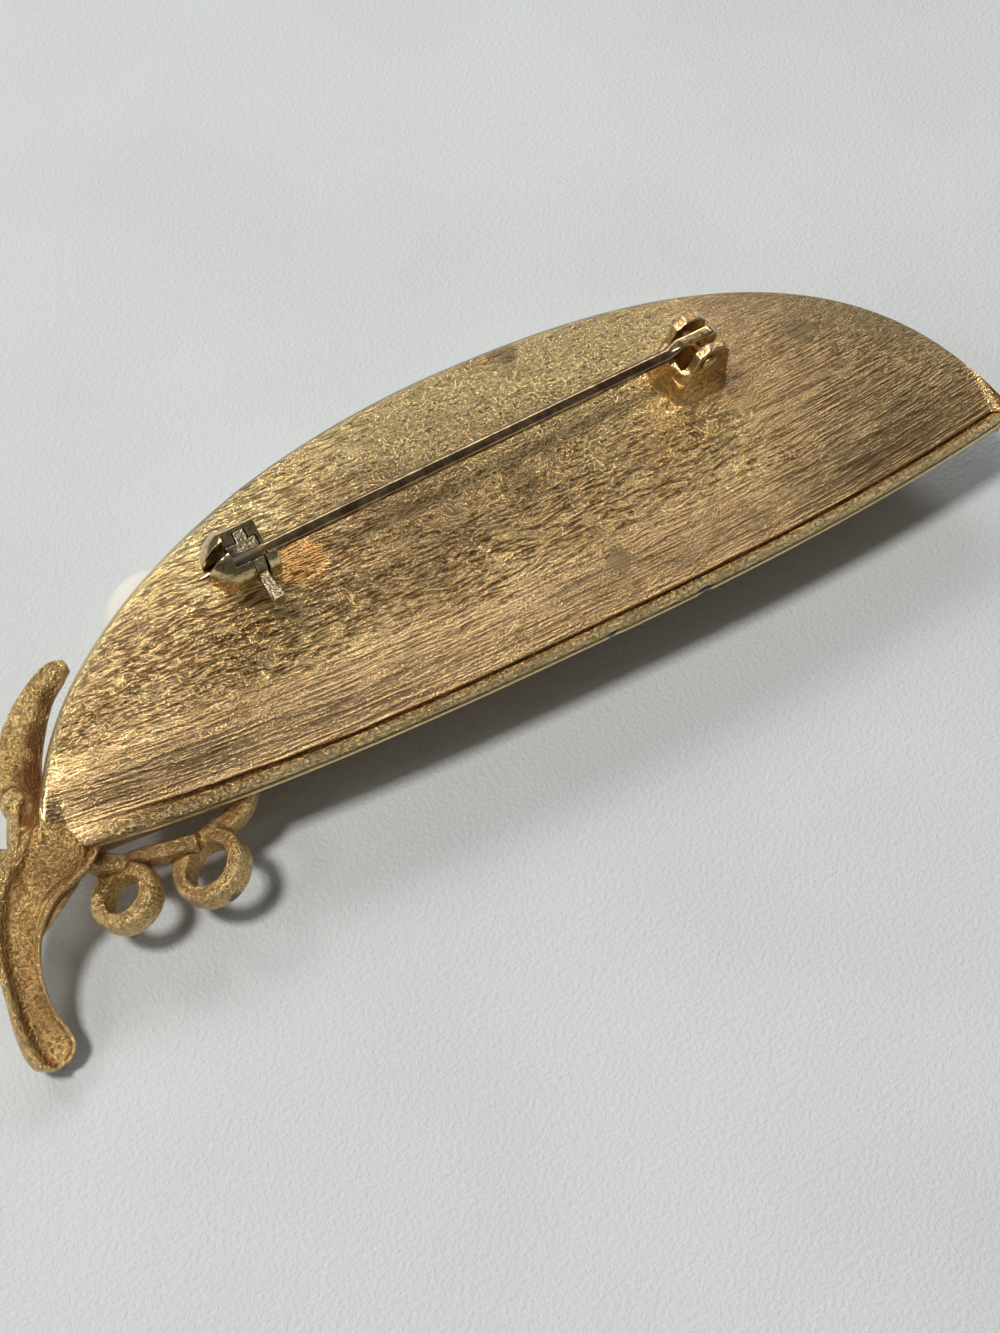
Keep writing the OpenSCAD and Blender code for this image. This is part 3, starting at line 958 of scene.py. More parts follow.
@dataclass(frozen=True)
class PearlLacquer(Finish):
    """Lacquered imitation pearl with a soft sheen under a clear coat."""

    name: str = "pearl_lacquer"
    body: Colour = (0.78, 0.77, 0.71)
    warm: Colour = (0.84, 0.78, 0.66)
    roughness: float = 0.28
    sparkle_roughness: float = 0.08
    coat: float = 0.6
    coat_roughness: float = 0.08
    glow: float = 0.25
    glow_reach: Colour = (1.0, 0.9, 0.8)
    glow_depth: float = 0.8
    grain_size: float = 0.35
    ripple: float = 0.004

    def settings(self) -> dict[str, object]:
        """Returns the shader's plain settings, by their names."""
        return {
            "Coat Weight": self.coat,
            "Coat Roughness": self.coat_roughness,
            "Subsurface Weight": self.glow,
            "Subsurface Radius": self.glow_reach,
            "Subsurface Scale": self.glow_depth * MM,
        }

    def layers(self, wires: Wiring, effects: Effects) -> tuple[Socket, Socket, Socket]:
        """Returns the colour, the roughness and the height, in millimetres."""
        place = wires.place()
        cloud = wires.noise(place, scale=0.5, detail=3.0, rough=0.5)
        colour = wires.colour(wires.spread(cloud, low=0.35, high=0.7), self.body, self.warm)
        grain = wires.effect(effects.grain, Place=place, Size=self.grain_size)
        sparkle = wires.times(grain.outputs["Sparkle"], self.sparkle_roughness)
        rough = wires.plus(self.roughness, sparkle)
        return colour, rough, wires.times(grain.outputs["Height"], self.ripple)


@dataclass(frozen=True)
class PaperFloor(Finish):
    """The pale, finely grained sheet that the brooch lies on."""

    name: str = "pale_sheet"
    light: Colour = (0.65, 0.672, 0.668)
    shade: Colour = (0.61, 0.628, 0.626)
    roughness: float = 0.6
    shade_roughness: float = 0.55
    grain_size: float = 0.3
    grain_depth: float = 0.035

    def settings(self) -> dict[str, object]:
        """Returns the shader's plain settings, of which paper needs none."""
        return {}

    def layers(self, wires: Wiring, effects: Effects) -> tuple[Socket, Socket, Socket]:
        """Returns the colour, the roughness and the height, in millimetres."""
        place = wires.place()
        cloud = wires.noise(place, scale=0.04, detail=2.0, rough=0.5)
        cloud = wires.spread(cloud, low=0.3, high=0.7)
        colour = wires.colour(cloud, self.light, self.shade)
        rough = wires.blend(cloud, self.roughness, self.shade_roughness)
        grain = wires.effect(effects.grain, Place=place, Size=self.grain_size)
        return colour, rough, wires.times(grain.outputs["Height"], self.grain_depth)


# The pieces


@dataclass
class Piece:
    """A finished piece: its name, what it stands for, what it rides on and its slot."""

    name: str
    nodes: tuple[str, ...]
    part: Part
    slot: Slot

    def put(self, shape: Shape, material: bpy.types.Material, reach: float, evening: int) -> None:
        """Puts a shape into the scene as this piece.

        Args:
            shape: The shape, in millimetres from the pod's stem end.
            material: Its finish.
            reach: The radius of an edge that wears fully, in millimetres.
            evening: How many times the wear on edges is evened out.
        """
        mesh = shape.mesh(self.name)
        ridge = ridge_values(mesh, reach, evening)
        mesh.attributes.new("ridge", "FLOAT", "POINT").data.foreach_set("value", ridge)
        points = ((shape.points - ORIGIN) * MM).astype(np.float32)
        mesh.vertices.foreach_set("co", points.ravel())
        mesh.update()
        mesh.materials.append(material)
        thing = linked(self.name, mesh)
        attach(thing, self.part.value)
        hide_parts(*self.nodes)
        triangles = sum(len(p.vertices) - 2 for p in mesh.polygons)
        LOG.info("%s: %d triangles", self.name, triangles)


def on_pod(points: Rows) -> Rows:
    """Returns points turned with the pod about its stem end."""
    turned = points.copy()
    cosine = math.cos(POD_TURN)
    sine = math.sin(POD_TURN)
    turned[:, 0] = points[:, 0] * cosine - points[:, 1] * sine
    turned[:, 1] = points[:, 0] * sine + points[:, 1] * cosine
    return turned


@dataclass
class PodForm:
    """The pod's curves, from which its valves and its row of pearls are worked out."""

    length: float = 65.0
    arch: float = 20.3
    arch_x: float = 34.5
    arch_past: float = 0.7
    blunt_left: float = 1.94
    blunt_right: float = 2.4
    rim_end: float = 1.4
    rim_bow: float = 2.0
    rim_power: float = 2.6
    tip_width: float = 0.9
    end_z: float = 7.2
    edge_z: float = 8.4
    fade_power: float = 6.0
    bead_z: float = 6.2
    crown: float = 1.7
    wall: float = 1.1
    pearl_d: float = 7.2
    pearl_count: int = 6
    pearl_inset: float = 0.9
    row_x: float = 32.0
    row_half: float = 21.0
    row_flat: float = 1.8
    row_turn: float = 35.0

    def station(self, angle: float) -> float:
        """Returns the place along the pod of an angle, from 0 at its stem end to 180 at its tip."""
        cosine = math.cos(math.radians(angle))
        if cosine > 0:
            return self.arch_x - (self.arch_x + self.arch_past) * cosine ** (2 / self.blunt_left)
        return self.arch_x + (self.length - self.arch_x) * (-cosine) ** (2 / self.blunt_right)

    def arch_share(self, x: float) -> float:
        """Returns the share of the way from the arch's top to its foot at x."""
        if x < self.arch_x:
            return min(1.0, (self.arch_x - x) / (self.arch_x + self.arch_past))
        return min(1.0, (x - self.arch_x) / (self.length - self.arch_x))

    def rim_y(self, x: float) -> float:
        """Returns the straight edge's place at x."""
        along = abs(2 * x / self.length - 1)
        return self.rim_end - self.rim_bow * max(0.0, 1 - along**self.rim_power)

    def arch_y(self, x: float) -> float:
        """Returns the arched edge's place at x."""
        blunt = self.blunt_left if x < self.arch_x else self.blunt_right
        rise = max(0.0, 1 - self.arch_share(x) ** blunt) ** (1 / blunt)
        return max(self.rim_y(x) + self.tip_width, self.arch * rise)

    def width(self, x: float) -> float:
        """Returns the pod's width at x."""
        return self.arch_y(x) - self.rim_y(x)

    def fade(self, x: float) -> float:
        """Returns how much of the middle's full height is left at x."""
        return 1 - self.arch_share(x) ** self.fade_power

    def edge_height(self, x: float) -> float:
        """Returns the arched edge's height at x."""
        return self.end_z + (self.edge_z - self.end_z) * self.fade(x)

    def back_z(self, x: float, share: float) -> float:
        """Returns the back's height at x, at a share of the way to the arched edge."""
        slope = (self.edge_height(x) - self.bead_z) * share
        return self.bead_z + slope + 4 * self.crown * self.fade(x) * share * (1 - share)

    def row_inset(self, x: float) -> float:
        """Returns how far a pearl's centre lies inside the arched edge at x."""
        return self.pearl_inset + self.row_flat * max(
            0.0, 1 - ((x - self.row_x) / self.row_half) ** 2
        )

    def pearl_place(self, number: int) -> Rows:
        """Returns the centre of a pearl, counted from 1 at the stem end."""
        turn = math.radians(self.row_turn)
        share = 2 * (number - 1) / (self.pearl_count - 1) - 1
        x = self.row_x + self.row_half / math.sin(turn) * math.sin(turn * share)
        near = 0.1
        slope = (self.arch_y(x + near) - self.arch_y(x - near)) / (2 * near)
        back = self.row_inset(x) / math.sqrt(1 + slope * slope)
        return np.array([x + slope * back, self.arch_y(x) - back, self.pearl_d / 2])


@dataclass
class PodValves:
    """The pod's two cast valves, with the bead and the ledge along their straight edge."""

    form: PodForm
    first_angle: float = 7.0
    last_angle: float = 176.0
    stations: int = 250
    # The bead and the arched edge are at full size where the pod is at least this wide
    full_width: float = 5.0
    back_steps: int = 30
    hollow_steps: int = 7
    front_steps: int = 12
    smoothing: int = 3
    # The front valve, whose belly rises at the pod's ends and whose lip stands up
    belly_share: float = 0.55
    side_depth: float = 0.9
    end_depth: float = 1.9
    side_share: float = 0.45
    lip_rise: float = 1.0
    lip_rise_share: float = 0.75
    lip_gap: float = 0.4
    lip_least: float = 0.3
    # The hollow between the valves, which closes to a slit at the pod's ends
    hollow_half: float = 29.0
    hollow_inset: float = 1.8
    hollow_power: float = 8.0
    hollow_least: float = 0.03
    slit_inset: float = 0.4
    groove_inset: float = 0.95
    back_rise: float = 0.12
    rim_fall: float = 1.5
    # Where the bead rises out of the plain edge along the pod
    bead_x: tuple = (0.8, 5.5)
    # A point of the bead further in than this moves in with a wider bead
    bead_outer: float = 0.1
    wide_bead: float = 0.7
    wide_bead_x: float = 18.0
    edge_inset: float = 0.5
    peg_r: float = 0.4
    peg_z: float = 5.0
    peg_end: float = 0.4
    peg_steps: int = 24
    # The small rings that round off the pod's two ends: their angles in degrees, and their reach
    cap_turns: tuple = (30, 60, 85)
    cap_depth: float = 0.3
    # The bead's outline: inset, height above bead_z, and shares of bead and polish
    bead: tuple = (
        (0.05, -0.9, 0.0, 0.3),
        (-0.1, -0.78, 0.0, 1.0),
        (-0.13, -0.52, 0.0, 1.0),
        (0.0, -0.38, 0.3, 0.0),
        (-0.09, -0.2, 1.0, 0.0),
        (-0.03, 0.03, 1.0, 0.0),
        (0.13, 0.22, 1.0, 0.0),
        (0.3, 0.26, 1.0, 0.0),
        (0.5, 0.12, 1.0, 0.0),
        (0.62, -0.12, 0.5, 0.0),
        (0.72, -0.09, 0.45, 0.0),
        (0.82, 0.08, 0.0, 0.0),
    )
    # The arched edge's outline: inset, depth, and share of the smooth edge
    edge: tuple = (
        (0.22, 0.1, 0.9),
        (0.04, 0.32, 1.0),
        (0.0, 0.6, 1.0),
        (0.08, 0.9, 1.0),
        (0.3, 1.04, 0.5),
    )
    chip_depth: float = 0.16
    chip_power: float = 0.7
    # The arched edge's band near the stem end, which rolls over and is smooth
    band_width: float = 1.3
    band_fall: float = 0.4
    band_start: float = -0.5
    band_end: float = 18.5
    band_gain: float = 1.6

    def belly_z(self, x: float) -> float:
        """Returns the height of the front's lowest line at x."""
        along = abs(2 * x / self.form.length - 1)
        rise = max(0.0, (along - self.belly_share) / (1 - self.belly_share))
        return (self.form.bead_z - self.end_depth) * rise**2

    def front_z(self, x: float, share: float) -> float:
        """Returns the front's height at x, at a share of the way to its lip."""
        low = self.belly_z(x)
        side = max(0.0, 1 - share / self.side_share) ** 2
        lip = max(0.0, (share - self.lip_rise_share) / (1 - self.lip_rise_share)) ** 2
        return low + (self.form.bead_z - self.side_depth - low) * side + self.lip_rise * lip

    def lip_share(self, x: float) -> float:
        """Returns the share of the width at which the front's lip lies at x."""
        inset = self.form.row_inset(x) + self.form.pearl_d / 2 + self.lip_gap
        return max(self.lip_least, 1 - inset / self.form.width(x))

    def section(self, x: float) -> Rows:
        """Draws the outline of both valves across the pod.

        Args:
            x: Where along the pod.

        Returns:
            Rows of y, z and the shares of bead, smooth arched edge and polish.
        """
        form = self.form
        y0 = form.rim_y(x)
        w = form.width(x)
        k = min(1.0, w / self.full_width)
        wide = 1 + self.wide_bead * max(0.0, 1 - x / self.wide_bead_x)
        start = self.groove_inset * k * wide / w
        end = 1 - self.edge_inset * k / w
        drop = form.back_z(x, start) - form.bead_z - self.back_rise * k
        shown = min(1.0, max(0.0, (x - self.bead_x[0]) / (self.bead_x[1] - self.bead_x[0])))
        rows = []
        for i, (inset, rise, bead, polish) in enumerate(self.bead):
            turn = i / (len(self.bead) - 1)
            low = self.bead[0][1]
            plain = low + (self.back_rise - low) * math.sin(turn * math.pi / 2)
            inset = self.bead[-1][0] * turn**2 * (1 - shown) + inset * shown
            rise = plain * (1 - shown) + rise * shown
            y = y0 + inset * k * (wide if inset > self.bead_outer else 1.0)
            rows.append((y, form.bead_z + rise * k, bead * shown, 0.0, polish * shown))
        band_length = self.band_end - self.band_start
        rolled = max(0.0, 1 - (x - self.band_start) / band_length) ** 0.5
        for i in range(self.back_steps + 1):
            share = start + (end - start) * i / self.back_steps
            near = max(0.0, 1 - (1 - share) * w / self.band_width)
            band = min(1.0, self.band_gain * near) * rolled
            fall = drop * math.exp(-(((share - start) * w / self.rim_fall) ** 2))
            fall += self.band_fall * rolled * near**2
            rows.append((y0 + w * share, form.back_z(x, share) - fall, 0.0, band, 0.0))
        for inset, depth, smooth in self.edge:
            z = form.edge_height(x) - depth * k - self.band_fall * rolled * max(0.0, 1 - depth)
            rows.append((y0 + w - inset * k, z, 0.0, smooth, 0.0))
        rows += self.hollow(x, y0, w, k, end)
        lip = self.lip_share(x)
        for i in range(self.front_steps, 0, -1):
            share = i / self.front_steps
            rows.append((y0 + w * lip * share, self.front_z(x, share), 0.0, 0.0, 0.0))
        return np.array(rows)

    def hollow(self, x: float, y0: float, w: float, k: float, end: float) -> list[tuple]:
        """Draws the hollow's outline, which closes towards the pod's ends.

        Args:
            x: Where along the pod.
            y0: The straight edge's place there.
            w: The width there.
            k: The share of a full bead and edge there.
            end: The share of the width at which the back ends.

        Returns:
            Rows as section() has them.
        """
        form = self.form
        lip = self.lip_share(x)
        inset = min(self.hollow_inset, w * lip / 2) / w
        far = abs(x - form.row_x) / self.hollow_half
        opening = max(self.hollow_least, 1 - far**self.hollow_power)
        edge = np.array([y0 + w - self.slit_inset * k, form.edge_height(x) - form.wall * k])
        lip_end = np.array([y0 + w * lip, self.front_z(x, 1.0) + form.wall * k])
        n = self.hollow_steps
        line = []
        for i in range(n + 1):
            share = end + (inset - end) * i / n
            line.append((y0 + w * share, form.back_z(x, share) - form.wall * k))
        for i in range(n + 1):
            share = inset + (lip - inset) * i / n
            line.append((y0 + w * share, self.front_z(x, share / lip) + form.wall * k))
        rows = []
        for i, point in enumerate(line):
            shut = edge + (lip_end - edge) * (i + 1) / (len(line) + 1)
            y, z = shut + (np.array(point) - shut) * opening
            rows.append((y, z, 0.0, 0.0, 0.0))
        return rows

    def shape(self) -> Shape:
        """Returns the valves' shape, with the values that their finish reads."""
        rings = []
        whole = self.last_angle - self.first_angle
        for i in range(self.stations):
            x = self.form.station(self.first_angle + whole * i / (self.stations - 1))
            rows = spline(self.section(x), self.smoothing, closed=True)
            rings.append(np.insert(rows, 0, x, axis=1))
        rings = self.rounded(rings)
        rows = np.vstack(rings)
        faces = loft([ring[:, :3] for ring in rings]).faces
        lay = rows[:, :3].copy()
        lay[:, 1] -= [self.form.rim_y(x) for x in rows[:, 0]]
        masks = np.clip(rows[:, [3, 4, 5]], 0, 1)
        points = self.chipped(on_pod(rows[:, :3]))
        return Shape(points, faces, {"lay": lay, "rims": masks})

    def rounded(self, rings: list[Rows]) -> list[Rows]:
        """Adds small rings that round off the two ends."""
        made = list(rings)
        for end, way in ((0, -1.0), (-1, 1.0)):
            ring = rings[end]
            middle = ring[:, :3].mean(axis=0)
            for turn in self.cap_turns:
                small = ring.copy()
                share = math.cos(math.radians(turn))
                small[:, 1:3] = middle[1:3] + (ring[:, 1:3] - middle[1:3]) * share
                small[:, 0] += way * self.cap_depth * math.sin(math.radians(turn))
                made.insert(0 if end == 0 else len(made), small)
        return made

    def chipped(self, points: Rows) -> Rows:
        """Returns the points with the chips of the straight edge pressed in."""
        for mark in BrushedBack().chips:
            far = np.linalg.norm(points - np.array(mark.place), axis=1) / mark.radius
            points[:, 1] += self.chip_depth * np.clip(1 - far, 0, 1) ** self.chip_power
        return points

    def pegs(self) -> Shape:
        """Returns the pegs that the pearls are glued on."""
        made = []
        for number in range(1, self.form.pearl_count + 1):
            x, y, _ = self.form.pearl_place(number)
            share = (y - self.form.rim_y(x)) / self.form.width(x)
            top = self.form.back_z(x, share) - self.form.wall / 2
            end = self.peg_r * self.peg_end
            profile = [
                (self.peg_z, self.peg_r - end),
                (self.peg_z + end, self.peg_r),
                (top, self.peg_r),
            ]
            centre = on_pod(np.array([[x, y, 0.0]]))[0]
            made.append(lathe(profile, centre, 2, self.peg_steps))
        return made[0].plus(*made[1:])

    def dress(self, effects: Effects) -> None:
        """Puts the valves into the scene."""
        valves = self.shape()
        pegs = self.pegs()
        both = valves.plus(pegs)
        count = len(pegs.points)
        for key, rows in valves.values.items():
            both.values[key] = np.vstack([rows, np.zeros((count, 3))])
        piece = Piece("pod_valves", ("pod",), Part.BROOCH, Slot.GOLD)
        piece.put(both, BrushedBack().material(effects), reach=0.3, evening=1)


@dataclass
class StemSprig:
    """The stem, the calyx's sepals and the curled tendril, cast in one with the pod."""

    voxel: float = 0.085
    softening: int = 4
    path_steps: int = 8
    section_steps: int = 4
    # A path's rows are x, y, z, half width and half height, and a section's are shares of those two
    stem: tuple = (
        (2.6, 2.5, 5.2, 1.1, 0.5),
        (0.5, 1.8, 5.7, 2.1, 0.8),
        (-1.9, 0.9, 5.5, 1.95, 1.0),
        (-3.5, -0.6, 4.9, 1.55, 1.0),
        (-4.5, -2.4, 4.0, 1.25, 1.0),
        (-5.0, -4.2, 3.1, 1.15, 1.0),
        (-5.2, -5.6, 2.3, 1.3, 0.95),
        (-5.15, -6.8, 1.7, 1.45, 0.95),
        (-5.05, -7.6, 1.4, 1.25, 0.9),
        (-5.0, -8.1, 1.25, 0.5, 0.6),
    )
    stem_section: tuple = (
        (1.0, 0.0),
        (0.97, 0.6),
        (0.84, 1.0),
        (0.6, 0.85),
        (0.35, 0.3),
        (-0.25, 0.12),
        (-0.8, 0.22),
        (-0.94, 0.36),
        (-1.0, 0.0),
        (-0.85, -0.6),
        (-0.4, -0.95),
        (0.3, -1.0),
        (0.85, -0.7),
    )
    big_sepal: tuple = (
        (-0.2, 3.6, 5.9, 1.0, 0.7),
        (-0.3, 5.4, 5.9, 1.3, 0.8),
        (0.3, 7.6, 5.9, 1.35, 0.8),
        (1.7, 9.8, 5.8, 1.2, 0.75),
        (3.4, 11.7, 5.5, 0.9, 0.7),
        (4.9, 12.7, 5.3, 0.7, 0.65),
        (5.7, 12.9, 5.2, 0.35, 0.4),
    )
    small_sepal: tuple = (
        (-0.35, 6.3, 6.1, 0.3, 0.3),
        (-0.7, 5.7, 6.3, 0.75, 0.6),
        (-0.95, 5.1, 6.2, 0.5, 0.55),
        (-1.2, 4.4, 6.2, 0.5, 0.65),
        (-1.7, 3.3, 6.1, 0.5, 0.7),
        (-2.3, 1.9, 5.8, 0.4, 0.5),
    )
    outer_sepal: tuple = (
        (-1.2, 1.6, 5.3, 1.0, 0.6),
        (-2.7, 2.6, 5.2, 1.1, 0.6),
        (-4.0, 4.0, 5.0, 0.8, 0.5),
        (-4.8, 5.4, 4.9, 0.2, 0.2),
    )
    # The calyx laps over the pod's blunt end
    collar: tuple = (
        (-3.0, -1.6, 4.4, 0.5, 0.3),
        (-2.3, -0.6, 4.7, 1.2, 0.55),
        (-1.6, 0.3, 5.05, 1.7, 0.72),
        (-0.9, 1.1, 5.4, 2.05, 0.85),
        (-0.2, 1.9, 5.7, 2.0, 0.95),
        (0.15, 3.2, 6.0, 1.1, 0.9),
        (0.5, 4.6, 6.2, 0.3, 0.4),
    )
    # The big sepal has a flat band along its outer side and falls away towards the pod
    big_section: tuple = (
        (1.0, -0.45),
        (0.8, -0.1),
        (0.45, 0.4),
        (0.2, 0.68),
        (-0.2, 0.74),
        (-0.6, 0.82),
        (-0.85, 0.9),
        (-0.98, 0.62),
        (-1.0, 0.0),
        (-0.6, -0.7),
        (0.0, -0.9),
        (0.6, -0.85),
    )
    sepal_section: tuple = (
        (1.0, 0.0),
        (0.7, 0.65),
        (0.0, 1.0),
        (-0.7, 0.65),
        (-1.0, 0.0),
        (-0.6, -0.7),
        (0.0, -0.9),
        (0.6, -0.7),
    )
    tendril_root: tuple = (
        (1.1, 1.8, 4.4, 0.6, 0.8),
        (1.7, 0.9, 4.1, 0.6, 0.9),
        (2.7, 0.1, 3.8, 0.55, 0.95),
        (3.8, -0.05, 3.7, 0.35, 0.65),
    )
    tendril_bar: tuple = (
        (2.6, 0.1, 3.75, 0.4, 0.75),
        (4.1, -0.1, 3.7, 0.5, 0.8),
        (5.7, -0.5, 3.7, 0.5, 0.8),
        (7.3, -0.8, 3.6, 0.5, 0.75),
    )
    tendril_end: tuple = (
        (7.7, -0.8, 3.6, 0.5, 0.75),
        (9.1, -0.7, 3.7, 0.6, 0.75),
        (10.3, -0.4, 3.9, 0.65, 0.75),
        (11.2, 0.1, 4.3, 0.6, 0.7),
        (12.0, 0.7, 4.7, 0.4, 0.6),
    )
    strip_section: tuple = (
        (1.0, 0.0),
        (0.9, 0.75),
        (0.5, 1.0),
        (-0.5, 1.0),
        (-0.9, 0.75),
        (-1.0, 0.0),
        (-0.9, -0.75),
        (-0.5, -1.0),
        (0.5, -1.0),
        (0.9, -0.75),
    )
    # The tendril's two loops: x, y and outer diameter
    loops: tuple = ((2.4, -1.8, 4.3), (7.4, -2.6, 4.7))
    loop_z: float = 3.5
    loop_lean: float = 24.0
    loop_way: float = 149.0
    loop_wall: float = 1.05
    loop_h: float = 1.8
    loop_square: float = 0.6
    loop_steps: int = 64
    loop_section_steps: int = 24

    def strip(self, path: Table, section: Table) -> Shape:
        """Returns a smooth strip along a path of the tables."""
        line = spline(path, self.path_steps)
        return swept(line, spline(section, self.section_steps, closed=True))

    def loop(self, x: float, y: float, diameter: float) -> Shape:
        """Draws a loop of the tendril, whose wall is rounded.

        Args:
            x: Its middle's place along the pin.
            y: Its middle's place across the pin.
            diameter: Its outer diameter.

        Returns:
            The leaning ring.
        """
        middle = diameter / 2 - self.loop_wall / 2
        wide, high = squarish(self.loop_section_steps, self.loop_square)
        radius = middle + wide * self.loop_wall / 2
        high = high * self.loop_h / 2
        ring = loft(
            [
                np.stack([radius * math.cos(turn), radius * math.sin(turn), high], axis=1)
                for turn in turns(self.loop_steps)
            ],
            looped=True,
        )
        lean = rotation(2, self.loop_way) @ rotation(1, self.loop_lean)
        return Shape(ring.points @ lean.T, ring.faces).moved((x, y, self.loop_z))

    def shape(self) -> Shape:
        """Returns the sprig's skin."""
        strips = [
            self.strip(path, section)
            for path, section in (
                (self.stem, self.stem_section),
                (self.big_sepal, self.big_section),
                (self.small_sepal, self.sepal_section),
                (self.outer_sepal, self.sepal_section),
                (self.collar, self.sepal_section),
                (self.tendril_root, self.strip_section),
                (self.tendril_bar, self.strip_section),
                (self.tendril_end, self.strip_section),
            )
        ]
        loops = [self.loop(*row) for row in self.loops]
        return Workshop.cast(strips[0].plus(*strips[1:], *loops), self.voxel, self.softening)

    def stem_values(self, points: Rows) -> Rows:
        """Measures where each point lies along and across the stem.

        Args:
            points: The skin's points.

        Returns:
            Rows of the length along the stem, the distance across it and the height.
        """
        line = spline(self.stem, self.path_steps)[:, :3]
        lengths = np.concatenate([[0], np.cumsum(np.linalg.norm(np.diff(line, axis=0), axis=1))])
        near = np.linalg.norm(points[:, None] - line[None], axis=2).argmin(axis=1)
        way = np.gradient(line, axis=0)
        way /= np.linalg.norm(way, axis=1)[:, None]
        off = points - line[near]
        along = lengths[near] + (off * way[near]).sum(axis=1)
        across = off[:, 0] * way[near][:, 1] - off[:, 1] * way[near][:, 0]
        return np.stack([along, across, off[:, 2]], axis=1)

    def dress(self, effects: Effects) -> None:
        """Puts the sprig into the scene."""
        shape = self.shape()
        shape.values["along"] = self.stem_values(shape.points)
        finish = CastGold(
            "cast_gold",
            bright=(0.9, 0.64, 0.26),
            deep=(0.24, 0.09, 0.025),
            worn=(0.95, 0.76, 0.4),
            grain_size=0.19,
            grain_depth=0.1,
            pit_share=0.62,
            patch_share=0.5,
            wear=0.4,
            hollow_dark=0.8,
            line_depth=0.012,
            marks=(Mark((7.7, -4.9, 3.6), 0.5, 0.9), Mark((8.8, -4.3, 3.4), 0.3, 0.8)),
            # Painted shade in orange-brown: on the big sepal's inner side, where the calyx meets
            # the pod's blunt end, and on the tendril's root under the pod's edge
            painted_shading=(
                Mark((2.6, 8.6, 6.0), 1.7, 0.9, 0.8),
                Mark((1.2, 6.4, 6.2), 1.9, 0.95, 0.8),
                Mark((4.2, 10.8, 5.7), 1.3, 0.8, 0.8),
                Mark((0.2, 4.2, 6.4), 1.5, 0.8, 0.8),
                Mark((-0.2, 0.4, 6.4), 2.4, 0.4, 0.8),
                Mark((1.6, 0.6, 5.4), 1.3, 0.5, 0.8),
                Mark((4.0, 0.6, 4.2), 1.6, 0.7, 0.8),
            ),
        )
        piece = Piece("stem_sprig", ("pod",), Part.BROOCH, Slot.GOLD)
        piece.put(shape, finish.material(effects), reach=0.35, evening=2)


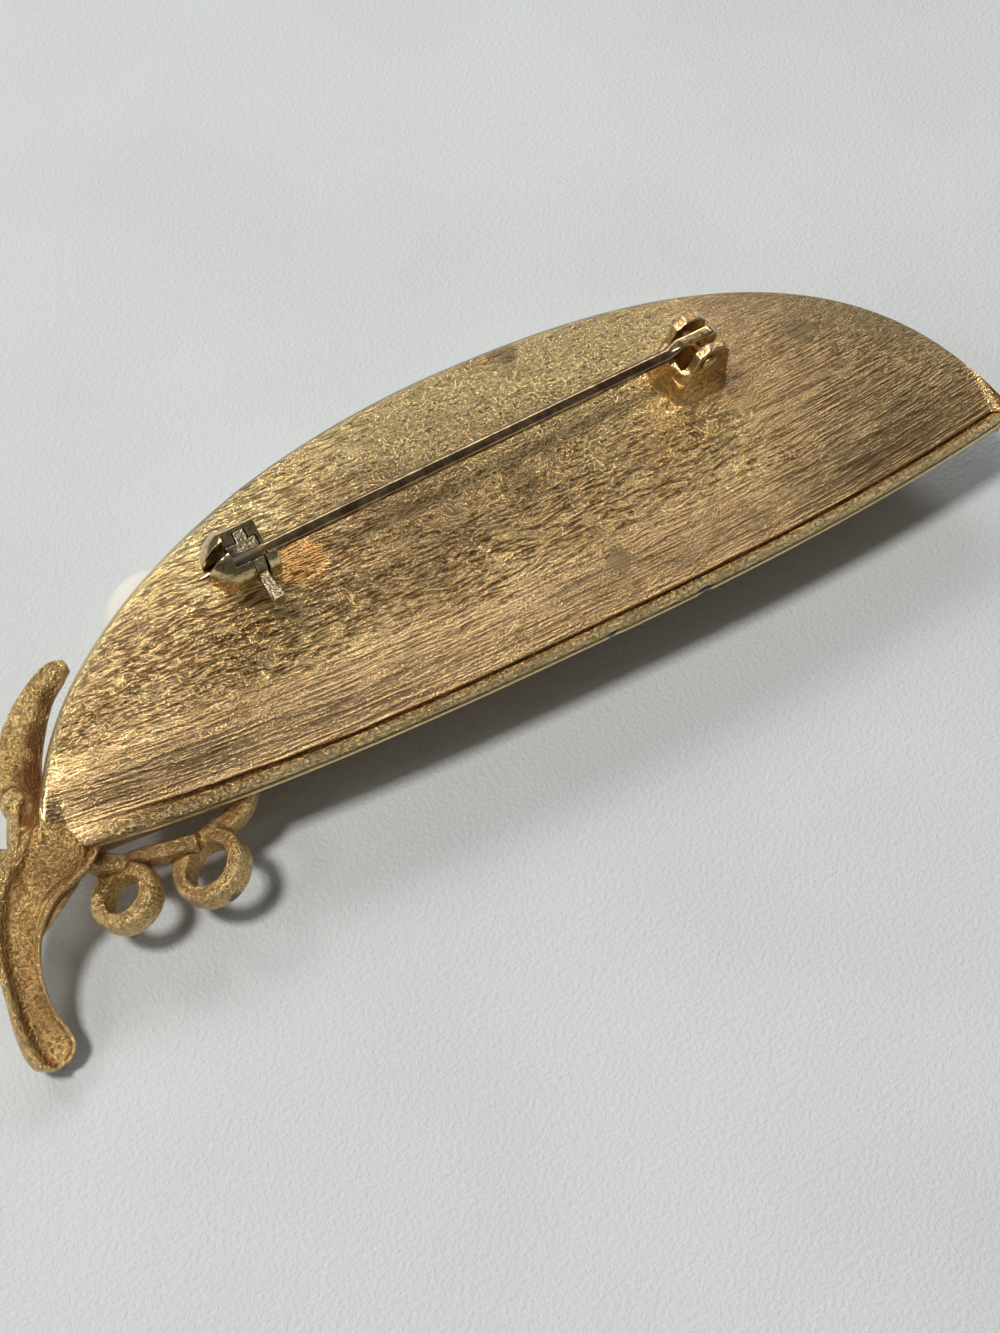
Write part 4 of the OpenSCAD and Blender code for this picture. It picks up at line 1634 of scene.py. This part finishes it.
@dataclass
class Hinge:
    """The hinge bracket with its tray, ears and solder, and the rivet through it."""

    x: float = HINGE[0]
    z: float = HINGE[2]
    middle_y: float = 9.9
    gap: float = 2.0
    ear_t: float = 0.6
    ear_x: float = 46.5
    ear_h: float = 1.1
    # The ear's top: x from the hinge's axis, and depth below ear_h
    ear_top: tuple = ((1.5, 0.7), (1.1, 0.2), (0.0, 0.0), (-0.7, 0.4))
    tray_x: tuple = (46.1, 49.6)
    tray_z: tuple = (8.6, 9.8)
    lip_h: float = 0.7
    lip_t: float = 0.4
    rivet_r: float = 0.3
    play: float = 0.05
    head_r: float = 0.55
    head_h: float = 0.25
    # A head's outline: shares of its height and of its radius
    head_outline: tuple = ((1.0, 0.35), (0.8, 0.7), (0.45, 0.94), (0.1, 1.0), (0.0, 0.97))
    pole: float = 0.02
    hole_steps: int = 48
    rivet_steps: int = 64
    voxel: float = 0.05
    softening: int = 3
    solder_x: float = 47.85
    solder_steps: int = 48
    solder_square: float = 0.75
    # The solder's uneven outline: each wave's size, its count round the bracket and its phase
    solder_waves: tuple = ((0.04, 3, 1.0), (0.03, 5, 0.0))
    # The solder's rings: height, and half sizes along and across the pin
    solder_rings: tuple = (
        (8.4, 2.7, 2.3),
        (9.2, 2.4, 2.05),
        (9.7, 2.15, 1.85),
        (10.3, 1.95, 1.72),
        (10.9, 1.85, 1.66),
        (11.3, 1.75, 1.62),
        (11.45, 1.5, 1.45),
    )

    def ear(self, y0: float) -> Shape:
        """Returns one ear, which starts at y0."""
        corners = [(self.ear_x, self.tray_z[0]), (self.tray_x[1], self.tray_z[0])]
        corners += [(self.x + dx, self.z + self.ear_h - depth) for dx, depth in self.ear_top]
        corners.append((self.ear_x, self.z - self.ear_h))
        return extruded(corners, 1, y0, y0 + self.ear_t)

    def bar(self, y0: float, y1: float) -> Shape:
        """Returns a bar on the hinge's axis, as thick as the rivet's hole."""
        radius = self.rivet_r + self.play
        return lathe([(y0, radius), (y1, radius)], (self.x, 0.0, self.z), 1, self.hole_steps)

    def solder(self) -> Shape:
        """Returns the fillet of solder that the bracket stands in."""
        turn = turns(self.solder_steps)
        wide, deep = squarish(self.solder_steps, self.solder_square)
        uneven = 1.0
        for size, count, phase in self.solder_waves:
            uneven = uneven + size * np.sin(count * turn + phase)
        rings = []
        for z, half_x, half_y in self.solder_rings:
            x = self.solder_x + wide * half_x * uneven
            y = self.middle_y + deep * half_y * uneven
            rings.append(np.stack([x, y, np.full(len(turn), z)], axis=1))
        return loft(rings)

    def shape(self) -> Shape:
        """Returns the bracket's skin."""
        near = self.middle_y - self.gap / 2 - self.ear_t
        far = self.middle_y + self.gap / 2 + self.ear_t
        lip = (self.tray_x[0], self.tray_x[0] + self.lip_t)
        body = block(self.tray_x, (near, far), self.tray_z).plus(
            block(lip, (near, far), (self.tray_z[0], self.tray_z[1] + self.lip_h)),
            self.ear(near),
            self.ear(far - self.ear_t),
        )
        tray = (near + self.ear_t, far - self.ear_t)
        room = block((lip[1], self.tray_x[1] + PAST), tray, (self.tray_z[1], self.z + 2 * PAST))
        fillet = Workshop.cut(self.solder(), [room])
        skin = Workshop.cast(body.plus(fillet), self.voxel, self.softening)
        return Workshop.cut(skin, [self.bar(near - PAST, far + PAST)])

    def rivet(self) -> Shape:
        """Returns the rivet, with its two domed heads."""
        near = self.middle_y - self.gap / 2 - self.ear_t - self.play
        far = self.middle_y + self.gap / 2 + self.ear_t + self.play
        head = [(-self.head_h, self.pole)]
        head += [(-self.head_h * high, self.head_r * wide) for high, wide in self.head_outline]
        head.append((0.0, self.rivet_r))
        profile = [(near + along, radius) for along, radius in head]
        profile += [(far - along, radius) for along, radius in reversed(head)]
        return lathe(profile, (self.x, 0.0, self.z), 1, self.rivet_steps)

    def dress(self, effects: Effects) -> None:
        """Puts the bracket and the rivet into the scene."""
        plated = CastGold(
            "bracket_gold",
            bright=(0.8, 0.54, 0.23),
            worn=(0.88, 0.78, 0.52),
            roughness=0.24,
            worn_roughness=0.2,
            grain_size=0.28,
            grain_depth=0.03,
            wear=0.8,
        )
        piece = Piece("hinge_bracket", ("pod",), Part.BROOCH, Slot.GOLD)
        piece.put(self.shape(), plated.material(effects), reach=0.15, evening=2)
        dull = CastGold("rivet_gold", roughness=0.3, grain_size=0.2, grain_depth=0.006, wear=0.5)
        piece = Piece("rivet", ("hinge_rivet",), Part.BROOCH, Slot.RIVET)
        piece.put(self.rivet(), dull.material(effects), reach=0.12, evening=1)


@dataclass
class Pin:
    """The pin: its point, its round wire and the flattened blade that the rivet holds."""

    hinge: Hinge
    y: float = HINGE[1]
    point_x: float = 13.9
    point_r: float = 0.06
    taper_x: float = 14.9
    taper_r: float = 0.33
    wire_x: float = 20.5
    wire_r: float = 0.42
    blade_x: float = 46.2
    blade_slope: float = 1.0
    blade_t: float = 0.84
    blade_r: float = 0.65
    blade_end_x: float = 49.1
    blade_square: float = 4.0
    end_power: float = 0.3
    # Steps along the point, the wire and the blade, and round the blade's end
    steps: tuple = (24, 40, 36)
    end_steps: int = 20
    end_turn: float = 88.0
    round_steps: int = 64

    def size(self, x: float) -> tuple[float, float, float]:
        """Measures the pin's section.

        Args:
            x: Where along the pin.

        Returns:
            Its half width, its half height and how square it is.
        """
        if x < self.blade_x:
            stops = (self.point_x, self.taper_x, self.wire_x)
            radius = float(np.interp(x, stops, (self.point_r, self.taper_r, self.wire_r)))
            return radius, radius, 2.0
        share = min(1.0, (x - self.blade_x) / self.blade_slope)
        share = share * share * (3 - 2 * share)
        half = self.wire_r + (self.blade_r - self.wire_r) * share
        wide = self.wire_r + (self.blade_t / 2 - self.wire_r) * share
        if x > self.blade_end_x:
            left = max(0.0, 1 - ((x - self.blade_end_x) / self.blade_r) ** 2)
            half *= math.sqrt(left)
            wide *= left**self.end_power
        return wide, half, 2.0 + self.blade_square * share

    def shape(self) -> Shape:
        """Returns the pin's shape."""
        end = self.blade_end_x + self.blade_r
        stops = (self.point_x, self.wire_x, self.blade_x, self.blade_end_x)
        places = []
        for start, stop, count in zip(stops, stops[1:], self.steps):
            places += list(np.linspace(start, stop, count)[:-1])
        end_turns = np.radians(90 - np.linspace(0, self.end_turn, self.end_steps))
        places += [self.blade_end_x + self.blade_r * math.cos(turn) for turn in end_turns]
        rings = []
        for x in places:
            wide, high, square = self.size(min(x, end))
            y, z = squarish(self.round_steps, 2 / square)
            y = self.y + y * wide
            z = self.hinge.z + z * high
            rings.append(np.stack([np.full(len(y), x), y, z], axis=1))
        hole = self.hinge.bar(self.y - PAST, self.y + PAST)
        return Workshop.cut(loft(rings), [hole])

    def dress(self, effects: Effects) -> None:
        """Puts the pin into the scene."""
        # The wire's dark gold is a painted dark reflection on its polished surface
        wire = CastGold(
            "wire_gold",
            bright=(0.5, 0.36, 0.19),
            deep=(0.15, 0.085, 0.05),
            worn=(0.8, 0.68, 0.46),
            roughness=0.2,
            worn_roughness=0.16,
            grain_size=0.35,
            grain_depth=0.005,
            patch_scale=0.8,
            patch_share=0.8,
            wear=0.3,
            # Painted shade: the wire is darkened where it lies inside the catch's mouth
            marks=(Mark((16.9, self.y, 12.2), 1.5, 0.9, 0.6),),
            mark_colour=(0.12, 0.1, 0.08),
            # Painted highlight: a bright tan on the blade at the hinge
            painted_shading=(Mark((48.6, self.y, 12.4), 2.2, 0.9, 0.6),),
            painted_shading_colour=(0.78, 0.58, 0.28),
        )
        piece = Piece("pin", ("pin_stem",), Part.PIN, Slot.PIN)
        piece.put(self.shape(), wire.material(effects), reach=0.1, evening=2)


@dataclass
class Catch:
    """The safety catch: the barrel with its dome, and the turning rotor with its tab."""

    y: float = 10.3
    z: float = 11.9
    pin_y: float = HINGE[1]
    pin_z: float = HINGE[2]
    radius: float = 1.95
    dome_x: float = 14.5
    cheek_x: float = 16.05
    slot_x: tuple = (17.05, 17.9)
    end_x: float = 18.6
    foot_y: float = 2.6
    foot_z: tuple = (8.3, 10.6)
    lip_angle: float = 27.0
    mouth_half: float = 0.68
    dome_slit: float = 0.78
    slot_open: float = 110.0
    rotor_r: float = 1.65
    sleeve_r: float = 1.1
    sleeve_end: float = 0.22
    play: float = 0.05
    rotor_play: float = 0.08
    tab_turn: float = 188.0
    tab_reach: float = 3.75
    tab_root: float = 0.4
    tab_w: float = 0.65
    tab_t: float = 0.5
    tab_lip: float = 0.6
    cutter_reach: float = 6.0
    fan_steps: int = 6
    # The dome's profile: its first radius, and its first step, its steps and their crowding
    pole: float = 0.03
    dome_first: float = 0.02
    dome_steps: int = 14
    dome_power: float = 1.6
    round_steps: int = 64
    barrel_steps: int = 96
    voxel: float = 0.045
    rotor_voxel: float = 0.035
    softening: int = 3
    # The mouth is rough inside: grey worn metal, darkened in its depth as painted shade
    mouth_wear_and_shade: tuple = (
        Mark((16.9, 10.8, 12.6), 1.25, 0.95, 0.7),
        Mark((17.4, 11.5, 12.8), 0.9, 0.6, 0.8),
        Mark((15.4, 10.1, 12.6), 0.75, 0.95, 0.3),
    )

    def round_bar(self, radius: float, x0: float, x1: float) -> Shape:
        """Returns a round bar on the barrel's axis."""
        profile = [(x0, radius), (x1, radius)]
        return lathe(profile, (0.0, self.y, self.z), 0, self.round_steps)

    def across(self, outline: Table, turn: float, x0: float, x1: float) -> Shape:
        """Draws an outline about the barrel's axis out along X.

        Args:
            outline: Rows of y and z from the axis.
            turn: How far it is turned about the axis, in degrees.
            x0: Where it starts.
            x1: Where it ends.

        Returns:
            The shape.
        """
        spin = rotation(0, turn)[1:, 1:]
        placed = np.array(outline, float) @ spin.T + np.array([self.y, self.z])
        return extruded(placed, 0, x0, x1)

    def mouth(self, x0: float, x1: float) -> Shape:
        """Returns the wedge that opens the mouth."""
        low = -self.mouth_half
        high = 3 * self.radius
        square = [(low, low), (high, low), (high, high), (low, high)]
        return self.across(square, self.lip_angle, x0, x1)

    def barrel(self) -> Shape:
        """Returns the barrel's skin."""
        cap = self.cheek_x - self.dome_x
        dome_r = (self.radius**2 + cap**2) / (2 * cap)
        profile = [(self.dome_x, self.pole)]
        for along in np.linspace(self.dome_first, 1, self.dome_steps) ** self.dome_power * cap:
            profile.append((self.dome_x + along, math.sqrt(dome_r**2 - (dome_r - along) ** 2)))
        profile.append((self.end_x, self.radius))
        solid = lathe(profile, (0.0, self.y, self.z), 0, self.barrel_steps)
        half = self.foot_y / 2
        foot_y = (self.y - half, self.y + half)
        foot = block((self.cheek_x, self.end_x), foot_y, self.foot_z)
        slit = self.dome_slit / 2
        place = np.array([self.pin_y - self.y, self.pin_z - self.z])
        past = self.cutter_reach
        notch = np.array([(-slit, -slit), (slit, -slit), (slit, past), (-slit, past)]) + place
        fan = [(0.0, 0.0)]
        for turn in np.linspace(0, self.slot_open, self.fan_steps):
            angle = math.radians(turn)
            fan.append((past * math.cos(angle), past * math.sin(angle)))
        inside = (self.cheek_x + self.sleeve_end, self.end_x - self.sleeve_end)
        cutters = [
            self.mouth(self.cheek_x, self.end_x + PAST),
            self.across(notch, 0.0, self.dome_x - PAST, self.cheek_x + self.sleeve_end),
            self.round_bar(self.sleeve_r + self.play, *inside),
            self.round_bar(self.rotor_r + self.play, *self.slot_x),
            self.across(fan, self.lip_angle + 90, *self.slot_x),
        ]
        return Workshop.cast(solid.plus(foot), self.voxel, self.softening, cutters)

    def rotor(self) -> Shape:
        """Returns the rotor's skin."""
        x0 = self.slot_x[0] + self.rotor_play
        x1 = self.slot_x[1] - self.rotor_play
        s0 = self.cheek_x + self.sleeve_end + self.rotor_play
        s1 = self.end_x - self.sleeve_end - self.rotor_play
        profile = [(s0, self.sleeve_r), (x0, self.sleeve_r), (x0, self.rotor_r)]
        profile += [(x1, self.rotor_r), (x1, self.sleeve_r), (s1, self.sleeve_r)]
        disc = lathe(profile, (0.0, self.y, self.z), 0, self.round_steps)
        disc = Workshop.cut(disc, [self.mouth(s0 - PAST, s1 + PAST)])
        tab_x = (self.slot_x[0] + self.slot_x[1] - self.tab_w) / 2
        half = self.tab_t / 2
        root = self.rotor_r - self.tab_root
        foot = self.tab_reach - self.tab_t
        tab = [
            (root, -half),
            (foot, -half),
            (foot, -half - self.tab_lip),
            (self.tab_reach, -half - self.tab_lip),
            (self.tab_reach, half),
            (root, half),
        ]
        thumb = self.across(tab, self.tab_turn, tab_x, tab_x + self.tab_w)
        return Workshop.cast(disc.plus(thumb), self.rotor_voxel, self.softening)

    def dress(self, effects: Effects) -> None:
        """Puts the barrel and the rotor into the scene."""
        plated = CastGold(
            "catch_gold",
            bright=(0.78, 0.6, 0.3),
            deep=(0.16, 0.1, 0.055),
            worn=(0.72, 0.62, 0.42),
            roughness=0.14,
            worn_roughness=0.18,
            grain_size=0.4,
            grain_depth=0.008,
            wear=0.5,
            # Grey worn metal, and painted shade in the mouth's depth
            marks=self.mouth_wear_and_shade,
            mark_colour=(0.13, 0.12, 0.11),
        )
        piece = Piece("catch_barrel", ("pod",), Part.BROOCH, Slot.GOLD)
        piece.put(self.barrel(), plated.material(effects), reach=0.12, evening=2)
        worn = CastGold(
            "rotor_metal",
            bright=(0.62, 0.5, 0.3),
            deep=(0.1, 0.08, 0.06),
            worn=(0.74, 0.66, 0.48),
            roughness=0.24,
            worn_roughness=0.22,
            grain_size=0.16,
            grain_depth=0.03,
            wear=0.6,
            # Grey worn metal, and painted shade in the mouth's depth
            marks=self.mouth_wear_and_shade,
            mark_colour=(0.12, 0.11, 0.105),
        )
        piece = Piece("rotor", ("catch_rotor",), Part.ROTOR, Slot.CATCH)
        piece.put(self.rotor(), worn.material(effects), reach=0.12, evening=2)


@dataclass
class PearlRow:
    """The six drilled pearls between the valves."""

    form: PodForm
    hole_r: float = 0.48
    hole_z: float = 1.24
    chamfer: float = 0.12
    # The hole's edge: depth as a share of the chamfer, and width past the hole
    hole_edge: tuple = ((0.6, 0.02), (1.5, 0.0))
    pole: float = 0.01
    profile_steps: int = 64
    round_steps: int = 96

    def profile(self) -> Rows:
        """Returns the profile of a drilled pearl: height and radius."""
        radius = self.form.pearl_d / 2
        top = math.asin((self.hole_r + self.chamfer) / radius)
        rows = [
            (-radius * math.cos(turn), radius * math.sin(turn))
            for turn in np.linspace(self.pole, math.pi - top, self.profile_steps)
        ]
        rim = radius * math.cos(top)
        rows += [
            (rim - self.chamfer * depth, self.hole_r + past) for depth, past in self.hole_edge
        ]
        rows += [(self.hole_z, self.hole_r), (self.hole_z, self.pole)]
        return np.array(rows)

    def dress(self, effects: Effects) -> None:
        """Puts the pearls into the scene."""
        lacquer = PearlLacquer().material(effects)
        profile = self.profile()
        for number in range(1, self.form.pearl_count + 1):
            place = on_pod(self.form.pearl_place(number)[None])[0]
            name = f"pearl_{number}"
            piece = Piece(f"{name}_bead", (name,), Part.BROOCH, Slot.PEARL)
            piece.put(lathe(profile, place, 2, self.round_steps), lacquer, reach=0.2, evening=0)


# The studio


def aimed(thing: bpy.types.Object, place: Vector, back: Vector) -> None:
    """Puts a lamp or a camera at a place, with its back turned in a direction."""
    thing.location = place
    thing.rotation_mode = "QUATERNION"
    thing.rotation_quaternion = back.to_track_quat("Z", "Y")


@dataclass(frozen=True)
class Lamp:
    """A soft panel that faces a target."""

    name: str
    way: tuple[float, float, float]
    distance: float
    size: tuple[float, float]
    watts: float
    colour: Colour

    def put(self, target: Vector) -> None:
        """Puts the panel into the scene, facing the target."""
        light = bpy.data.lights.new(self.name, "AREA")
        light.shape = "RECTANGLE"
        light.size, light.size_y = self.size
        light.energy = self.watts
        light.color = self.colour
        way = Vector(self.way).normalized()
        aimed(linked(self.name, light), target + way * self.distance, way)


@dataclass
class Studio:
    """The camera at the photograph's angle, the pale floor and the soft lights."""

    eye: tuple = (-2.67, -51.86, 108.95)
    look: tuple = (27.05, -1.93, 8.3)
    lens: float = 72.0
    sensor: float = 36.0
    floor_half: float = 1.2
    world_colour: Colour = (0.93, 0.97, 1.0)
    world_strength: float = 0.135
    lamps: tuple = (
        Lamp("key_panel", (-0.369, 0.09, 0.925), 1.2, (0.2, 0.2), 9.0, (1.0, 0.98, 0.95)),
        Lamp("window_panel", (0.34, 0.73, 0.6), 1.2, (1.1, 0.3), 4.1, (0.97, 0.99, 1.0)),
        Lamp("arch_panel", (-0.25, 0.72, 0.65), 1.2, (0.3, 0.24), 1.7, (1.0, 0.99, 0.94)),
        Lamp("left_panel", (-0.72, 0.05, 0.66), 1.2, (0.25, 0.2), 1.2, (1.0, 1.0, 1.0)),
    )

    @staticmethod
    def row(place: tuple) -> Vector:
        """Returns a place from the stem end as one in the row frame, in metres."""
        return Vector((np.array(place) - ORIGIN) * MM)

    def camera(self) -> None:
        """Puts up the camera."""
        data = bpy.data.cameras.new("camera")
        data.sensor_fit = "HORIZONTAL"
        data.sensor_width = self.sensor
        data.lens = self.lens
        data.clip_start = MM
        thing = linked("camera", data)
        eye = self.row(self.eye)
        aimed(thing, eye, eye - self.row(self.look))
        bpy.context.scene.camera = thing

    def floor(self, effects: Effects) -> None:
        """Lays the floor."""
        half = self.floor_half
        corners = [(-half, -half, 0.0), (half, -half, 0.0), (half, half, 0.0), (-half, half, 0.0)]
        mesh = bpy.data.meshes.new("floor")
        mesh.from_pydata(corners, [], [(0, 1, 2, 3)])
        mesh.materials.append(PaperFloor().material(effects))
        linked("floor", mesh)

    def world(self) -> None:
        """Sets the even light from all round, and how the picture is shown."""
        world = bpy.data.worlds.new("studio")
        world.use_nodes = True
        background = world.node_tree.nodes["Background"]
        background.inputs[0].default_value = (*self.world_colour, 1.0)
        background.inputs[1].default_value = self.world_strength
        scene = bpy.context.scene
        scene.world = world
        scene.view_settings.view_transform = "Standard"

    def put(self, effects: Effects) -> None:
        """Sets up the whole studio."""
        self.camera()
        self.floor(effects)
        self.world()
        for lamp in self.lamps:
            lamp.put(self.row(self.look))


def main() -> None:
    """Builds every piece and the studio."""
    logging.basicConfig(level=logging.INFO, format="%(message)s")
    effects = Effects()
    form = PodForm()
    hinge = Hinge()
    for assembly in (
        PodValves(form),
        StemSprig(),
        hinge,
        Pin(hinge),
        Catch(),
        PearlRow(form),
    ):
        assembly.dress(effects)
    Studio().put(effects)


if __name__ == "__main__":
    main()
